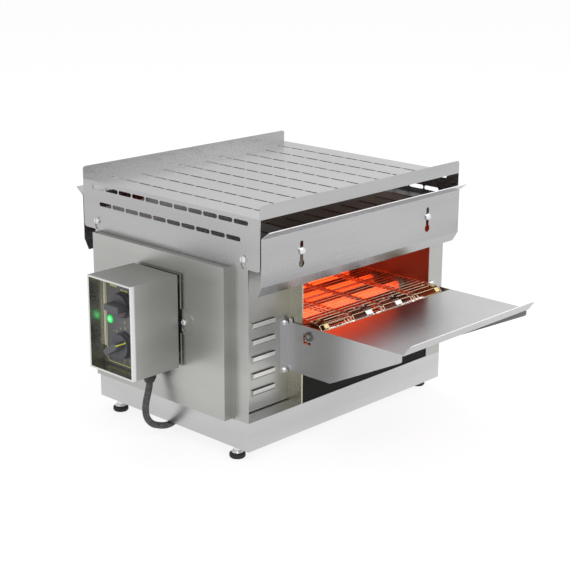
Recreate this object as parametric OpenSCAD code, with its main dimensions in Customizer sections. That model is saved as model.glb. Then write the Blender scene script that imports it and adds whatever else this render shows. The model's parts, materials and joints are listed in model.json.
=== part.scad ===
// Countertop conveyor oven: a wire belt carries food between two banks of quartz heating tubes.
// X runs across the front, -Y is the exit side, +Z is up. The origin is on the surface that the
// oven stands on, under the middle of its base.

/* [Base] */
// Height of the base box
base_h = 47.2; // [40:0.1:60]
// Thickness of the body's sheet steel
sheet = 1.2; // [1:0.1:1.5]
// Width of the base's inward bottom flange
base_flange = 46; // [40:1:60]

/* [Feet] */
// Height of the base above the surface it stands on
foot_h = 20.8; // [18:0.1:30]
// Diameter of a rubber foot
foot_d = 25.6; // [20:0.1:32]
// Distance of a foot's centre from the base's side
foot_inset_x = 12; // [11:0.5:30]
// Distance of a foot's centre from the base's front or rear
foot_inset_y = 36.5; // [20:0.5:60]
// Diameter of a foot's threaded stud
foot_stud_d = 8; // [6:0.5:10]

/* [Body] */
// Height of the body's walls above the base
body_h = 278; // [262:1:310]
// Depth that the front louvered panel lies behind the front
recess = 30; // [20:0.5:50]
// Height of the tunnel's walls above the base
tunnel_h = 250; // [244:1:254]
// Width of the drive compartment at the tunnel's left
drive_bay = 119.05; // [114:0.05:140]
// Width of the empty compartment at the tunnel's right
side_bay = 37.25; // [30:0.05:60]
// Width of the hem along the left wall's open edges
hem = 3; // [2:0.5:6]
// Number of louvers in a panel
louver_count = 5; // [3:1:6]
// Length of a louver
louver_w = 53; // [40:1:58]
// Distance from one louver to the next
louver_pitch = 27.2; // [22:0.1:30]
// Distance that a louver stands out
louver_out = 4.5; // [3:0.5:8]

/* [Top cover] */
// Gap between the body's deck and the cover's top
cover_gap = 46.5; // [40:0.5:60]
// Height of the cover's side skirts
skirt_h = 80; // [76:0.5:90]
// Distance that the cover overhangs the body's front and rear
cover_over = 26.55; // [24:0.05:34]
// Height of the raised lips at the cover's front and rear
lip_h = 20; // [12:0.5:30]
// Length of a vent slot
slot_l = 30.4; // [20:0.1:31]
// Distance of the vent rows' ends from the cover's front and rear
slot_edge = 24.45; // [18:0.05:28]
// Width of a vent slot in the top
slot_w = 4.6; // [3:0.1:8]
// Height of a vent slot in the skirts
skirt_slot_w = 7; // [4:0.5:9]
// Number of vent rows across the top
slot_rows = 9; // [5:1:9]
// Distance of the outer vent rows from the cover's sides
row_edge = 41.7; // [30:0.1:60]

/* [Hoods] */
// Gap between the cover and a hood's outer face
hood_gap = 2.85; // [2:0.05:6]
// Height of a hood's flat plate
hood_plate_h = 73; // [65:0.5:85]
// Height of the hood plate's lower edge above the base
hood_z = 222.4; // [216:0.1:230]
// Distance that the hood's lower lip slants inward
hood_lip_in = 11; // [5:0.5:15]
// Height of the hood's lower lip
hood_lip_h = 17; // [10:0.5:20]
// Distance that the hood's top flange leans outward
hood_flange_out = 15.5; // [10:0.5:20]
// Height of the hood's top flange
hood_flange_h = 12.5; // [8:0.5:20]
// Half the distance between a hood's two screws
hood_screw_x = 152; // [120:1:180]
// Distance that a hood can be lifted from its stored height
hood_rise = 20; // [12:0.5:22]
// Distance that a hood can be lowered from its stored height
hood_drop = 12; // [6:0.5:14]
// Width of a hood's adjustment slot
hood_slot_w = 6.8; // [6.6:0.1:8]

/* [Conveyor] */
// Pitch of the belt's cross wires
belt_pitch = 10; // [9:0.1:10.4]
// Diameter of the belt's wire
belt_wire = 2.2; // [1.6:0.1:2.6]
// Width of the belt
belt_w = 302; // [280:1:330]
// Gap between the belt and each wall of the tunnel
belt_gap = 7.15; // [5:0.05:12]
// Teeth on a belt sprocket
belt_teeth = 12; // [10:2:12]
// Wire pitches from the front shaft to the rear shaft
belt_span = 34; // [32:1:35]
// Height of the belt shafts above the base
shaft_z = 117; // [112:0.5:122]
// Distance of the front shaft in front of the body
shaft_out = 17.9; // [14:0.1:22]
// Distance of the rear shaft inside the body's rear
rear_bay = 33.1; // [30:0.1:60]
// Diameter of the belt shafts
shaft_d = 12; // [10:0.5:14]
// Half the distance between the two middle sprockets
sprocket_near = 37; // [30:0.5:60]
// Distance of an outer sprocket's middle from the belt's edge
sprocket_in = 12; // [6:0.5:24]
// Half the distance between the outer belt guides
guide_x = 88; // [70:0.5:110]

/* [Heating] */
// Number of quartz tubes in each bank
tube_count = 5; // [3:1:5]
// Distance of the rearmost tube in front of the rear shaft
tube_bay = 29.5; // [29.5:0.5:50]
// Diameter of a quartz tube
tube_d = 14; // [10:0.5:15]
// Height of the upper bank above the belt shafts
tube_lift = 78; // [70:0.5:84]
// Diameter of a tube's ceramic end holder
holder_d = 20; // [17:0.5:24]
// Length of a tube's ceramic end holder
holder_l = 10; // [8:0.5:14]

/* [Trays] */
// Height of the exit tray's surface above the base
tray_z = 132; // [126:0.5:134]
// Distance of the exit tray's outer edge from the body's front
tray_out = 204.4; // [150:0.5:240]
// Distance of the loading tray's outer edge from the body's rear
load_out = 98.4; // [70:0.5:130]
// Depth of a tray's side gusset at the body
gusset_h = 81; // [70:0.5:90]
// Depth of a tray's side gusset at its outer end
gusset_tip_h = 12; // [8:0.5:20]
// Height of the exit tray's upturned lip
tray_lip_h = 15.5; // [8:0.5:20]
// Height of the crumb tray's front
crumb_front_h = 48; // [40:1:56]

/* [Control box] */
// Width of the control box along the body
box_w = 102; // [96:0.5:120]
// Height of the control box
box_h = 150; // [140:0.5:170]
// Depth of the control box
box_d = 94; // [84:0.5:110]
// Distance of the box's middle behind the body's middle
box_y = 5; // [-20:0.5:20]
// Height of the box's underside above the base
box_z = 64; // [50:0.5:80]
// Depth of the fascia behind the box's rim
fascia_depth = 29; // [26:0.5:34]
// Diameter of a knob's skirt
knob_d = 42; // [36:0.5:46]
// Height of a knob above the fascia
knob_h = 29; // [18:0.5:30]
// Distance between the two knobs
knob_gap = 65; // [58:0.5:72]
// Radius of the box's mounting ears
ear_r = 21; // [16:0.5:24]
// Distance that the left side cover stands out from the wall
side_cover_out = 15.7; // [12:0.1:20]
// Length of the left side cover
side_cover_l = 307.5; // [280:0.5:320]
// Height of the left side cover
side_cover_h = 244; // [220:1:244]
// Diameter of the control cable
cable_d = 11; // [8:0.5:11]

/* [Hidden] */
$fn = 48;

// Clearances
slip = 0.2;         // between pieces that move on each other
hole_play = 0.3;    // around a screw or a stud in its hole
run_play = 0.05;    // around a shaft in its bearing, and around a bearing in its plate
cover_play = 0.2;   // between the body and the cover's skirts
tray_play = 1.5;    // beside the crumb tray
belt_clear = 8;     // between the belt's nose and the exit tray

// Main places
tunnel_w = belt_w + 2 * belt_gap;
base_w = drive_bay + tunnel_w + side_bay;
tunnel_shift = (drive_bay - side_bay) / 2;
side = base_w / 2;
base_d = belt_span * belt_pitch - shaft_out + rear_bay;
face = base_d / 2;
in_side = side - sheet;
in_face = face - sheet;
base_top = foot_h + base_h;
deck_z = base_top + body_h;
tunnel_top = base_top + tunnel_h;
cover_z = deck_z + cover_gap;
cover_x = side + cover_play + sheet;
cover_y = face + cover_over;
tun_l = tunnel_shift - tunnel_w / 2;
tun_r = tunnel_shift + tunnel_w / 2;
tun_out = tun_l - sheet;
panel_y = face - recess;
wall_rise = 3.5;
bottom_over = 3;

// Feet
foot_pad_h = 9;
foot_cone_h = 3;
foot_nut_d = 16;
foot_nut_h = 8;
foot_stud_up = 22;
function foot_at(k) = [(k % 2 == 1 ? -1 : 1) * (side - foot_inset_x),
  (k < 3 ? -1 : 1) * (face - foot_inset_y), 0];

// Screws
m6 = 6;
m6_head_d = 11.6;
m6_head_h = 4;
m5 = 5;
m5_head_d = 9.4;
m5_head_h = 3.2;
keyhole_play = 0.6;
drive_w = 1.4;
drive_depth = 1.2;

// Vents
slot_count = 11;
slot_pitch = (2 * (cover_y - slot_edge) - slot_l) / (slot_count - 1);
row_pitch = 2 * (cover_x - row_edge) / (slot_rows - 1);
long_row = [for (k = [0:slot_count - 1]) (k - (slot_count - 1) / 2) * slot_pitch];
short_row = [for (k = [0:slot_count - 2]) (k - (slot_count - 2) / 2) * slot_pitch];
skirt_row_up = 10;
skirt_row_low = 36.5;
deck_slot = [5, 60];
deck_cols = 10;
deck_col_pitch = 44;
deck_row_pitch = 80;
cover_screw_in = 7.6;
cover_screw_y = face - cover_screw_in;
cover_screw_drop = 65;
cover_screw_z = cover_z - cover_screw_drop;
cover_key_drop = 9;
skirt_r = 6;
lip_r = 5;

// Louvers
louver_h = 10;
louver_slope = 3;
louver_lean = 1.4;
louver_brow = louver_out - louver_lean;
panel_gap = 1.5;
louver_up = 145;
louver_top = base_top + louver_up;
louver_x = (tun_out - side) / 2 + 3;

// Hoods
hood_y = cover_y + hood_gap;
hood_out = hood_y - face;
hood_low = base_top + hood_z;
hood_high = hood_low + hood_plate_h;
hood_w = 2 * side + 2;
hood_screw_z = (tunnel_top + deck_z - sheet) / 2;
standoff_d = 12;

// Conveyor
belt_r = belt_pitch / 2 / sin(180 / belt_teeth);
shaft_h = base_top + shaft_z;
front_y = -face - shaft_out;
rear_y = front_y + belt_span * belt_pitch;
tube_pitch = 2 * (rear_y - tube_bay) / (tube_count - 1);
belt_side = belt_w / 2;
sprocket_far = belt_side - sprocket_in;
band_w = 2.4;
band_t = 1.8;
band_rows = [-1, -0.5, 0, 0.5, 1];
sprocket_w = 15;
edge_sprocket_w = 10;
tooth_w = 7;
tooth_up = 2.4;
journal_d = 6;
journal_out = 3;
centre_drill = 2.5;
bush_d = 10;
rear_bush_d = 20;
bush_flange = 3;
guide_wire = 2.5;
guide_gap = 8;
guide_turn = 70;
cross_wire = 4;
guide_r = belt_r - belt_wire / 2 - slip - guide_wire / 2;
guide_z = shaft_h + guide_r;
bow_over = 0.5;
weld_deep = 0.6;
cross_z = guide_z - (guide_wire + cross_wire) / 2 + weld_deep;

// Chain drive
chain_pitch = 8;
chain_teeth = 14;
chain_span = 12;
chain_tilt = atan2(3, 4);
chain_pin = 4;
chain_plate = 1;
chain_plate_h = 6;
chain_gap = 3.6;
chain_x = tun_out - 16.5;
chain_tooth_w = 3;
chain_tooth = 2.6;
motor_y = rear_y - chain_span * chain_pitch * cos(chain_tilt);
motor_z = shaft_h - chain_span * chain_pitch * sin(chain_tilt);
bracket_x = chain_x - 11;
bracket_t = 2;
bracket_over = 8;
bracket_foot = 24;
gearbox = [32, 70, 70];
motor_d = 60;
motor_l = 48;
motor_shaft_d = 10;

// Heating
bank = (tube_count - 1) / 2 * tube_pitch;
tube_seat = 6;
tube_wall = 1.2;
coil_d = 5;
lower_tube_z = shaft_h + 2;
upper_tube_z = shaft_h + tube_lift;
reflector_gap = 25;
low_reflector_up = 2.5;
low_reflector_z = shaft_h - belt_r + belt_wire + low_reflector_up;
upper_over = 30;
upper_fold = 14;
lower_over = 4;
lower_fold = 4;

// Trays
tray_side_play = 1.35;
tray_x = tun_out - tray_side_play - sheet;
tray_top = base_top + tray_z;
tray_lip_out = 11.5;
lip_corner = 5;
tray_screw_in = 1;
tray_screw_out = 6;
tray_screw_zs = [tray_top - gusset_h + tray_screw_in, tray_top - tray_screw_in];
gusset_run = 62;
gusset_in = 3;
flange_w = 16;
flange_over = 3;
load_rise = 8;
tab_w = 8;
tab_h = 7;
crumb_wall = 12;
crumb_lip = 10;

// Control box
box_gap = 6;
cover_out = side + side_cover_out;
side_cover_y = 12;
side_cover_z = base_top - 1;
side_flange = 5;
side_screw_in = 50;
side_screw_zs = [side_cover_z + side_screw_in, side_cover_z + side_cover_h - side_screw_in];
side_screw_x = -side - side_cover_out / 2;
lug_l = 6;
box_back = -(cover_out + box_gap);
box_rim = box_back - box_d;
box_low = base_top + box_z;
rim_hem = 3;
fascia_x = box_rim + fascia_depth;
fascia_t = 1.5;
fascia_fit = 0.3;
knob_mid = box_low + box_h / 2 - 1.5;
selector_z = knob_mid + knob_gap / 2;
speed_z = knob_mid - knob_gap / 2;
skirt_t = 4.5;
spindle_d = 6;
spindle_l = 12;
bar_w = 11;
bar_end = 1.5;
bar_tip = 13.5;
hub_low = 0.94;
hub_top = 0.88;
hub_h = 7;
speed_angle = 58;
lamp_d = 14;
lamp_dome = 1.5;
lamp_y = box_y + 34;
lamp_z = knob_mid + 2;
ear_out = 8;
boss_d = 12;
gland_d = 22;
gland_l = 34;
gland_nut = 26;
gland_x = box_back - 14;
gland_y = box_y + 4;

// Points that the control cable follows, from its gland down and in under the base
cable_points = [
  [-272, 9, 116], [-272, 9, 107], [-272, 9, 98], [-273.5, 9, 88], [-276.5, 9, 78], [-279.5, 9, 68],
  [-281.5, 9, 58], [-281.5, 9, 48], [-279, 9, 38.5], [-273.5, 9, 30], [-266, 9, 23.5], [-256.5, 9, 19],
  [-246.5, 9, 15.6], [-236, 9, 13.9], [-225.5, 9, 14.8], [-216, 9, 19.2], [-208.5, 9, 26.5]
];
entry_in = 22.3;
entry_x = entry_in - side;
entry_slot = [32, 18];
grommet_wall = 0.8;
grommet_lip = 2.5;
grommet_deep = 0.8;

// A prism of a shape drawn in Y and Z, centred on X
module along_x(w) {
  translate([-w / 2, 0, 0]) rotate([90, 0, 90]) linear_extrude(w) children();
}

// A prism of a shape drawn in X and Z, from the Y given towards +Y
module along_y(y, l) {
  translate([0, y + l, 0]) rotate([90, 0, 0]) linear_extrude(l) children();
}

// A block from its lowest corner to its highest
module block(low, high) {
  translate(low) cube(high - low);
}

// A cylinder along X
module rod_x(x, y, z, d, l) {
  translate([x, y, z]) rotate([0, 90, 0]) cylinder(d = d, h = l);
}

// A cylinder along Y
module rod_y(x, y, z, d, l) {
  translate([x, y, z]) rotate([-90, 0, 0]) cylinder(d = d, h = l);
}

// A sheet bent along a line of points
module bent(points) {
  for (k = [0:len(points) - 2]) {
    run = points[k + 1] - points[k];
    translate(points[k]) rotate(atan2(run[1], run[0]))
      translate([0, -sheet / 2]) square([norm(run), sheet]);
  }
  for (k = [1:len(points) - 2]) translate(points[k]) circle(d = sheet, $fn = 24);
}

// A slot with round ends along the first axis
module slot(l, w) {
  square([l - w, w], center = true);
  for (s = [-1, 1]) translate([s * (l - w) / 2, 0]) circle(d = w, $fn = 24);
}

// A keyhole: a straight slot that reaches up and down from the screw, with a large hole below
module keyhole(up, down, w, hole) {
  translate([-w / 2, -down]) square([w, up + down]);
  translate([0, up]) circle(d = w, $fn = 24);
  translate([0, -down]) circle(d = hole, $fn = 32);
}

// The arc that rounds corner b between a and c
function corner(a, b, c, r) =
  let (u = (a - b) / norm(a - b), v = (c - b) / norm(c - b))
  let (half = acos(u * v) / 2, mid = b + (u + v) / norm(u + v) * r / sin(half))
  let (from = b + u * r / tan(half) - mid, to = b + v * r / tan(half) - mid)
  [for (k = [0:6]) let (p = from * (1 - k / 6) + to * k / 6) mid + p / norm(p) * r];

// A rectangle whose upper or lower corners are rounded
module plate_2d(low, high, r_up, r_low) {
  a = [low[0], high[1]];
  b = high;
  c = [high[0], low[1]];
  polygon(concat(
    r_low > 0 ? corner(a, low, c, r_low) : [low],
    r_low > 0 ? corner(low, c, b, r_low) : [c],
    r_up > 0 ? corner(c, b, a, r_up) : [b],
    r_up > 0 ? corner(b, a, low, r_up) : [a]
  ));
}

// A screw along an axis: its head stands at the origin and points to +Z, its shank goes to -Z
module screw(d, head_d, head_h, l) {
  difference() {
    union() {
      cylinder(d = head_d, h = head_h * 0.55);
      translate([0, 0, head_h * 0.55])
        cylinder(d1 = head_d, d2 = head_d * 0.72, h = head_h * 0.45);
    }
    translate([-head_d, -drive_w / 2, head_h - drive_depth]) cube([2 * head_d, drive_w, head_h]);
  }
  translate([0, 0, -l]) cylinder(d = d, h = l);
}

// Where a wheel or a wire sits on a loop round two equal wheels, the first at the origin and
// the second towards -Y
function loop_at(i, teeth, span, pitch) =
  let (r = pitch / 2 / sin(180 / teeth), half = teeth / 2, step = 360 / teeth)
  i < span ? [-i * pitch, r]
  : i < span + half
    ? [-span * pitch, 0] + r * [cos(90 + (i - span) * step), sin(90 + (i - span) * step)]
  : i < 2 * span + half ? [(i - span - half - span) * pitch, -r]
  : r * [cos(270 + (i - 2 * span - half) * step), sin(270 + (i - 2 * span - half) * step)];

// The outline of such a loop at a distance from its pitch line
module loop_2d(teeth, span, pitch, out) {
  r = pitch / 2 / sin(180 / teeth) + out;
  step = 360 / teeth;
  polygon(concat(
    [for (k = [0:teeth / 2]) [-span * pitch + r * cos(90 + k * step), r * sin(90 + k * step)]],
    [for (k = [0:teeth / 2]) r * [cos(270 + k * step), sin(270 + k * step)]]
  ));
}

// A toothed wheel on X whose teeth stand between the wires or pins of its loop
module toothed(teeth, pitch, pin, tooth, up, w, bore) {
  r = pitch / 2 / sin(180 / teeth);
  difference() {
    along_x(w) union() {
      circle(r = r - pin / 2 - slip);
      for (k = [0:teeth - 1])
        rotate(90 + (k + 0.5) * 360 / teeth) translate([0, -tooth / 2]) square([r + up, tooth]);
    }
    rod_x(-w, 0, 0, bore, 2 * w);
  }
}

module base_chassis() {
  color("#bcbcc0") difference() {
    block([-side, -face, foot_h], [side, face, base_top]);
    block([-in_side, -in_face, foot_h + sheet], [in_side, in_face, base_top - sheet]);
    block([-side + base_flange, -face + base_flange, foot_h - 1],
      [side - base_flange, face - base_flange, foot_h + 2 * sheet]);
    for (k = [1:4]) translate(foot_at(k) + [0, 0, foot_h - 1])
      cylinder(d = foot_stud_d + 2 * hole_play, h = sheet + 2);
    translate([entry_x, gland_y, foot_h - 1]) linear_extrude(sheet + 2)
      slot(entry_slot[0], entry_slot[1]);
    translate([entry_x, gland_y, base_top - 2 * sheet]) cylinder(d = entry_slot[0], h = 3 * sheet);
  }
  color("#bcbcc0") for (k = [1:4]) translate(foot_at(k) + [0, 0, foot_h + sheet]) difference() {
    cylinder(d = foot_nut_d, h = foot_nut_h);
    translate([0, 0, -1]) cylinder(d = foot_stud_d + 2 * run_play, h = foot_nut_h + 2);
  }
}

module bottom_plate() {
  edge = base_flange - bottom_over;
  color("#a8a8a6") block([edge - side, edge - face, foot_h + sheet],
    [side - edge, face - edge, foot_h + 2 * sheet]);
}

module left_side_wall() {
  lug_y = side_cover_y + side_cover_l / 2 - sheet;
  color("#b4b4ae") {
    block([-side, -face, base_top], [-in_side, face, deck_z + wall_rise]);
    for (z = side_screw_zs)
      block([2 * side_screw_x + side + 2 * sheet, lug_y - lug_l, z - lug_l], [-side, lug_y, z + lug_l]);
  }
}

module right_side_wall() {
  color("#b4b4ae") {
    block([in_side, -face, base_top], [side, face, deck_z + wall_rise]);
    block([tun_r, -face, base_top], [in_side, -in_face, deck_z]);
    block([tun_r, in_face, base_top], [in_side, face, deck_z]);
  }
}

module louver_wedge(inset) {
  end = louver_w / 2 - inset;
  intersection() {
    along_x(2 * louver_w) polygon([[1, inset], [0, inset], [inset - louver_brow, louver_slope + inset],
      [inset - louver_out, louver_h + 1], [0, louver_h + 1], [0, louver_h], [1, louver_h]]);
    translate([0, 0, -2]) linear_extrude(louver_h + 4) polygon([[-end, 1], [-end, 0],
      [louver_slope - end, -louver_out], [end - louver_slope, -louver_out], [end, 0], [end, 1]]);
  }
}

module louver_panel(y, z) {
  difference() {
    union() {
      block([-in_side, y, base_top + panel_gap], [tun_out, y + sheet, z]);
      for (k = [0:louver_count - 1])
        translate([louver_x, y, louver_top - louver_h - k * louver_pitch])
          intersection() {
            louver_wedge(0);
            block([-louver_w, -louver_out - 1, 0], [louver_w, sheet / 2, louver_h]);
          }
    }
    for (k = [0:louver_count - 1])
      translate([louver_x, y, louver_top - louver_h - k * louver_pitch]) louver_wedge(1);
  }
}

module front_louver_panel() {
  color("#a3a49f") louver_panel(-panel_y, deck_z - sheet);
}

module rear_louver_panel() {
  color("#a3a49f") mirror([0, 1, 0]) louver_panel(-face, tunnel_top);
}

module shaft_hole(x) {
  rod_x(x - 2 * sheet, rear_y, shaft_h, rear_bush_d + 2 * run_play, 5 * sheet);
}

module tunnel_left_wall() {
  color("#aaa995") difference() {
    union() {
      block([tun_out, -face, base_top], [tun_l, face, tunnel_top]);
      for (y = [-face, in_face]) block([tun_out, y, base_top], [tun_out + hem, y + sheet, tunnel_top]);
    }
    shaft_hole(tun_out);
  }
}

module tunnel_right_wall() {
  color("#aaa995") difference() {
    block([tun_r, -in_face, base_top], [tun_r + sheet, in_face, tunnel_top]);
    shaft_hole(tun_r);
  }
}

module heat_deck() {
  color("#9b9b94") difference() {
    block([-in_side, -in_face, deck_z - sheet], [in_side, in_face, deck_z]);
    for (i = [0:deck_cols - 1], j = [-1.5:1.5])
      translate([(i - (deck_cols - 1) / 2) * deck_col_pitch, j * deck_row_pitch, deck_z - 2 * sheet])
        linear_extrude(3 * sheet) rotate(90) slot(deck_slot[1], deck_slot[0]);
  }
}

module cross_rails() {
  color("#a5a5a0") for (y = [-face, in_face])
    block([-in_side, y, tunnel_top], [tun_r, y + sheet, deck_z - sheet]);
}

module vent_row(ys, w) {
  for (y = ys) translate([y, 0]) slot(slot_l, w);
}

module top_cover() {
  color("#c3c3c8") {
    translate([0, 0, cover_z - sheet]) linear_extrude(sheet) difference() {
      square([2 * cover_x, 2 * cover_y], center = true);
      for (k = [0:slot_rows - 1]) {
        from_mid = k - (slot_rows - 1) / 2;
        translate([from_mid * row_pitch, 0]) rotate(90)
          vent_row(abs(from_mid) % 3 == 1 ? long_row : short_row, slot_w);
      }
    }
    for (s = [-1, 1]) {
      translate([s * (cover_x - sheet / 2), 0, 0]) along_x(sheet) difference() {
        plate_2d([-cover_y, cover_z - skirt_h], [cover_y, cover_z], 0, skirt_r);
        translate([0, cover_z - skirt_row_up]) vent_row(long_row, skirt_slot_w);
        translate([0, cover_z - skirt_row_low]) vent_row(short_row, skirt_slot_w);
        for (t = [-1, 1]) translate([t * cover_screw_y, cover_screw_z])
          keyhole(0, cover_key_drop, m6 + 2 * hole_play, m6_head_d + keyhole_play);
      }
      along_y(s * (cover_y - sheet / 2) - sheet / 2, sheet)
        plate_2d([-cover_x, cover_z - sheet], [cover_x, cover_z + lip_h], lip_r, 0);
    }
  }
}

module cover_screws() {
  color("#e4e4e6") for (s = [-1, 1], t = [-1, 1])
    translate([s * cover_x, t * cover_screw_y, cover_screw_z]) rotate([0, s * 90, 0])
      screw(m6, m6_head_d, m6_head_h, sheet + cover_play);
}

module left_side_cover() {
  y = side_cover_y;
  h = side_cover_l / 2;
  top = side_cover_z + side_cover_h;
  f = side_flange;
  color("#b0b0ac") difference() {
    union() {
      block([-cover_out, y - h, side_cover_z], [-side, y + h, top]);
      block([-side - sheet, y - h - f, side_cover_z], [-side, y + h + f, top]);
    }
    block([-cover_out + sheet, y - h + sheet, side_cover_z + sheet],
      [-side + 1, y + h - sheet, top - sheet]);
    for (z = side_screw_zs)
      rod_y(side_screw_x, y + h - 2 * sheet, z, m5 + 2 * hole_play, 3 * sheet);
  }
}

module side_cover_screws() {
  color("#3a3a3c") for (z = side_screw_zs)
    translate([side_screw_x, side_cover_y + side_cover_l / 2, z]) rotate([-90, 0, 0])
      screw(m5, m5_head_d * 0.8, m5_head_h, sheet);
}

module hood_standoffs() {
  color("#c8c8ca") for (s = [-1, 1], t = [-1, 1]) mirror([0, t > 0 ? 1 : 0, 0])
    rod_y(s * hood_screw_x, -hood_y + sheet + slip, hood_screw_z, standoff_d, hood_out - sheet - slip);
}

module hood() {
  mid = sheet / 2;
  difference() {
    along_x(hood_w) bent([
      [-hood_y + hood_lip_in, hood_low - hood_lip_h], [-hood_y + mid, hood_low],
      [-hood_y + mid, hood_high], [-hood_y - hood_flange_out, hood_high + hood_flange_h]
    ]);
    for (s = [-1, 1]) translate([s * hood_screw_x, 0, hood_screw_z])
      along_y(-hood_y - sheet, 3 * sheet)
        keyhole(hood_drop, hood_rise, hood_slot_w, m6_head_d + keyhole_play);
  }
}

module front_hood() {
  color("#bdbdc1") hood();
}

module rear_hood() {
  color("#bdbdc1") mirror([0, 1, 0]) hood();
}

module hood_screws() {
  color("#e4e4e6") for (s = [-1, 1], t = [-1, 1]) mirror([0, t > 0 ? 1 : 0, 0])
    translate([s * hood_screw_x, -hood_y - slip, hood_screw_z]) rotate([90, 0, 0])
      screw(m6, m6_head_d, m6_head_h, sheet + 2 * slip);
}

// A tray that stands out from the body at -Y, between two gussets with flanges on the body.
// The left gusset starts at left_y, and the plate runs from in_y to out_y.
module tray(left_y, in_y, out_y, top, lip, hole_z) {
  low = base_top + tray_z - gusset_h;
  knee = -face - gusset_run;
  tip = -out_y + gusset_in;
  foot = top - gusset_tip_h;
  outline = concat(
    corner([0, low], [knee, low], [tip, foot], 10),
    corner([knee, low], [tip, foot], [tip, top], 5)
  );
  difference() {
    union() {
      for (x = [tray_x, tun_r - sheet]) {
        start = x < 0 ? -left_y - sheet : -face - sheet;
        translate([x + sheet / 2, 0, 0]) along_x(sheet)
          polygon(concat([[start, low]], outline, [[tip, top], [start, top]]));
      }
      block([tray_x, -left_y - sheet, low - flange_over], [tray_x + sheet, -left_y, top + flange_over]);
      block([tray_x - flange_w, -left_y - sheet, low - flange_over], [tray_x, -left_y, top + flange_over]);
      block([tun_r - sheet, -face - sheet, low - flange_over],
        [tun_r + flange_w, -face, top + flange_over]);
      block([tray_x, -out_y, top - sheet], [tun_r, -in_y, top]);
      if (lip > 0) translate([(tray_x + tun_r) / 2, 0, 0]) along_x(tun_r - tray_x)
        bent([[-out_y + 2, top - sheet / 2], [-out_y, top - sheet / 2],
          [-out_y - tray_lip_out, top + lip]]);
    }
    if (hole_z > 0)
      rod_x(tray_x - 1, front_y, hole_z, bush_d + 2 * run_play, tun_r - tray_x + 2);
    for (z = tray_screw_zs) {
      rod_y(tray_x - tray_screw_out, -left_y - 2 * sheet, z, m5 + 2 * hole_play, 3 * sheet);
      rod_y(tun_r + tray_screw_out, -face - 2 * sheet, z, m5 + 2 * hole_play, 3 * sheet);
    }
    if (lip > 0) for (x = [tray_x, tun_r]) mirror([x > 0 ? 1 : 0, 0, 0])
      translate([-abs(x), 0, top + lip]) along_y(-out_y - 2 * tray_lip_out, 3 * tray_lip_out)
        difference() {
          square(2 * lip_corner, center = true);
          translate([lip_corner, -lip_corner]) circle(r = lip_corner);
        }
  }
}

module exit_tray() {
  slot_y = -face - 5;
  slot_z = shaft_h - 12;
  color("#c0c0c4") difference() {
    union() {
      tray(panel_y, face + shaft_out + belt_r + belt_wire + belt_clear, face + tray_out, tray_top,
        tray_lip_h, shaft_h);
      translate([tray_x + sheet / 2, 0, 0]) along_x(sheet)
        plate_2d([-panel_y - 4 - tab_w, tray_top - 2], [-panel_y - 4, tray_top + tab_h], 3, 0);
    }
    block([tray_x - 1, slot_y - 4, slot_z], [tray_x + sheet + 1, slot_y, shaft_h + 2]);
    block([tray_x - 1, slot_y - 16, slot_z - 2], [tray_x + sheet + 1, slot_y, slot_z + 2]);
  }
}

module loading_tray() {
  color("#c0c0c4") mirror([0, 1, 0])
    tray(face, face + sheet, face + load_out, tray_top + load_rise, 0, 0);
}

module tray_screws() {
  color("#e4e4e6") for (z = tray_screw_zs) {
    translate([tray_x - tray_screw_out, -panel_y - sheet, z]) rotate([90, 0, 0])
      screw(m5, m5_head_d, m5_head_h, sheet);
    for (x = [tray_x - tray_screw_out, tun_r + tray_screw_out]) mirror([0, 1, 0])
      translate([x, -face - sheet, z]) rotate([90, 0, 0]) screw(m5, m5_head_d, m5_head_h, sheet);
    translate([tun_r + tray_screw_out, -face - sheet, z]) rotate([90, 0, 0])
      screw(m5, m5_head_d, m5_head_h, sheet);
  }
}

module crumb_tray() {
  l = tun_out + hem + tray_play;
  r = tun_r - tray_play;
  z = base_top + slip;
  color("#2b2a28") difference() {
    union() {
      block([l, -in_face, z], [r, in_face - 8, z + crumb_wall]);
      block([l, -in_face, z], [r, -in_face + sheet, z + crumb_front_h]);
      block([l, -in_face, z + crumb_front_h - sheet], [r, -in_face + crumb_lip, z + crumb_front_h]);
    }
    block([l + sheet, -in_face + sheet, z + sheet], [r - sheet, in_face - 8 - sheet, z + crumb_wall + 1]);
  }
}

module reflector(z, depth, up) {
  l = tun_l;
  r = tun_r;
  difference() {
    block([l, -depth, min(z, z + up)], [r, depth, max(z + sheet, z + up)]);
    block([l + sheet, -depth - 1, up > 0 ? z + sheet : z + up - 1],
      [r - sheet, depth + 1, up > 0 ? z + up + 1 : z]);
  }
}

module upper_reflector() {
  color("#b9b3a4") reflector(upper_tube_z + reflector_gap, bank + upper_over, -upper_fold);
}

module lower_reflector() {
  color("#8f8477") reflector(low_reflector_z, bank + lower_over, lower_fold);
}

module tube_holders() {
  color("#d9d2c2") for (k = [0:tube_count - 1], z = [lower_tube_z, upper_tube_z], s = [0, 1])
    translate([s == 0 ? tun_l : tun_r, k * tube_pitch - bank, z]) rotate([0, s == 0 ? 90 : -90, 0])
      difference() {
        cylinder(d = holder_d, h = holder_l);
        translate([0, 0, holder_l - tube_seat]) cylinder(d = tube_d + slip, h = tube_seat + 1);
      }
}

module tubes(z, d, bore) {
  l = tunnel_w - 2 * (holder_l - tube_seat);
  for (k = [0:tube_count - 1])
    translate([tunnel_shift - l / 2, k * tube_pitch - bank, z]) rotate([0, 90, 0]) difference() {
      cylinder(d = d, h = l);
      if (bore > 0) translate([0, 0, -1]) cylinder(d = bore, h = l + 2);
    }
}

module upper_tubes() {
  color("#ff7a3c") tubes(upper_tube_z, tube_d, tube_d - 2 * tube_wall);
}

module lower_tubes() {
  color("#ff6a33") tubes(lower_tube_z, tube_d, tube_d - 2 * tube_wall);
}

module heating_coils() {
  color("#ffb070") for (z = [lower_tube_z, upper_tube_z]) tubes(z, coil_d, 0);
}

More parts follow.
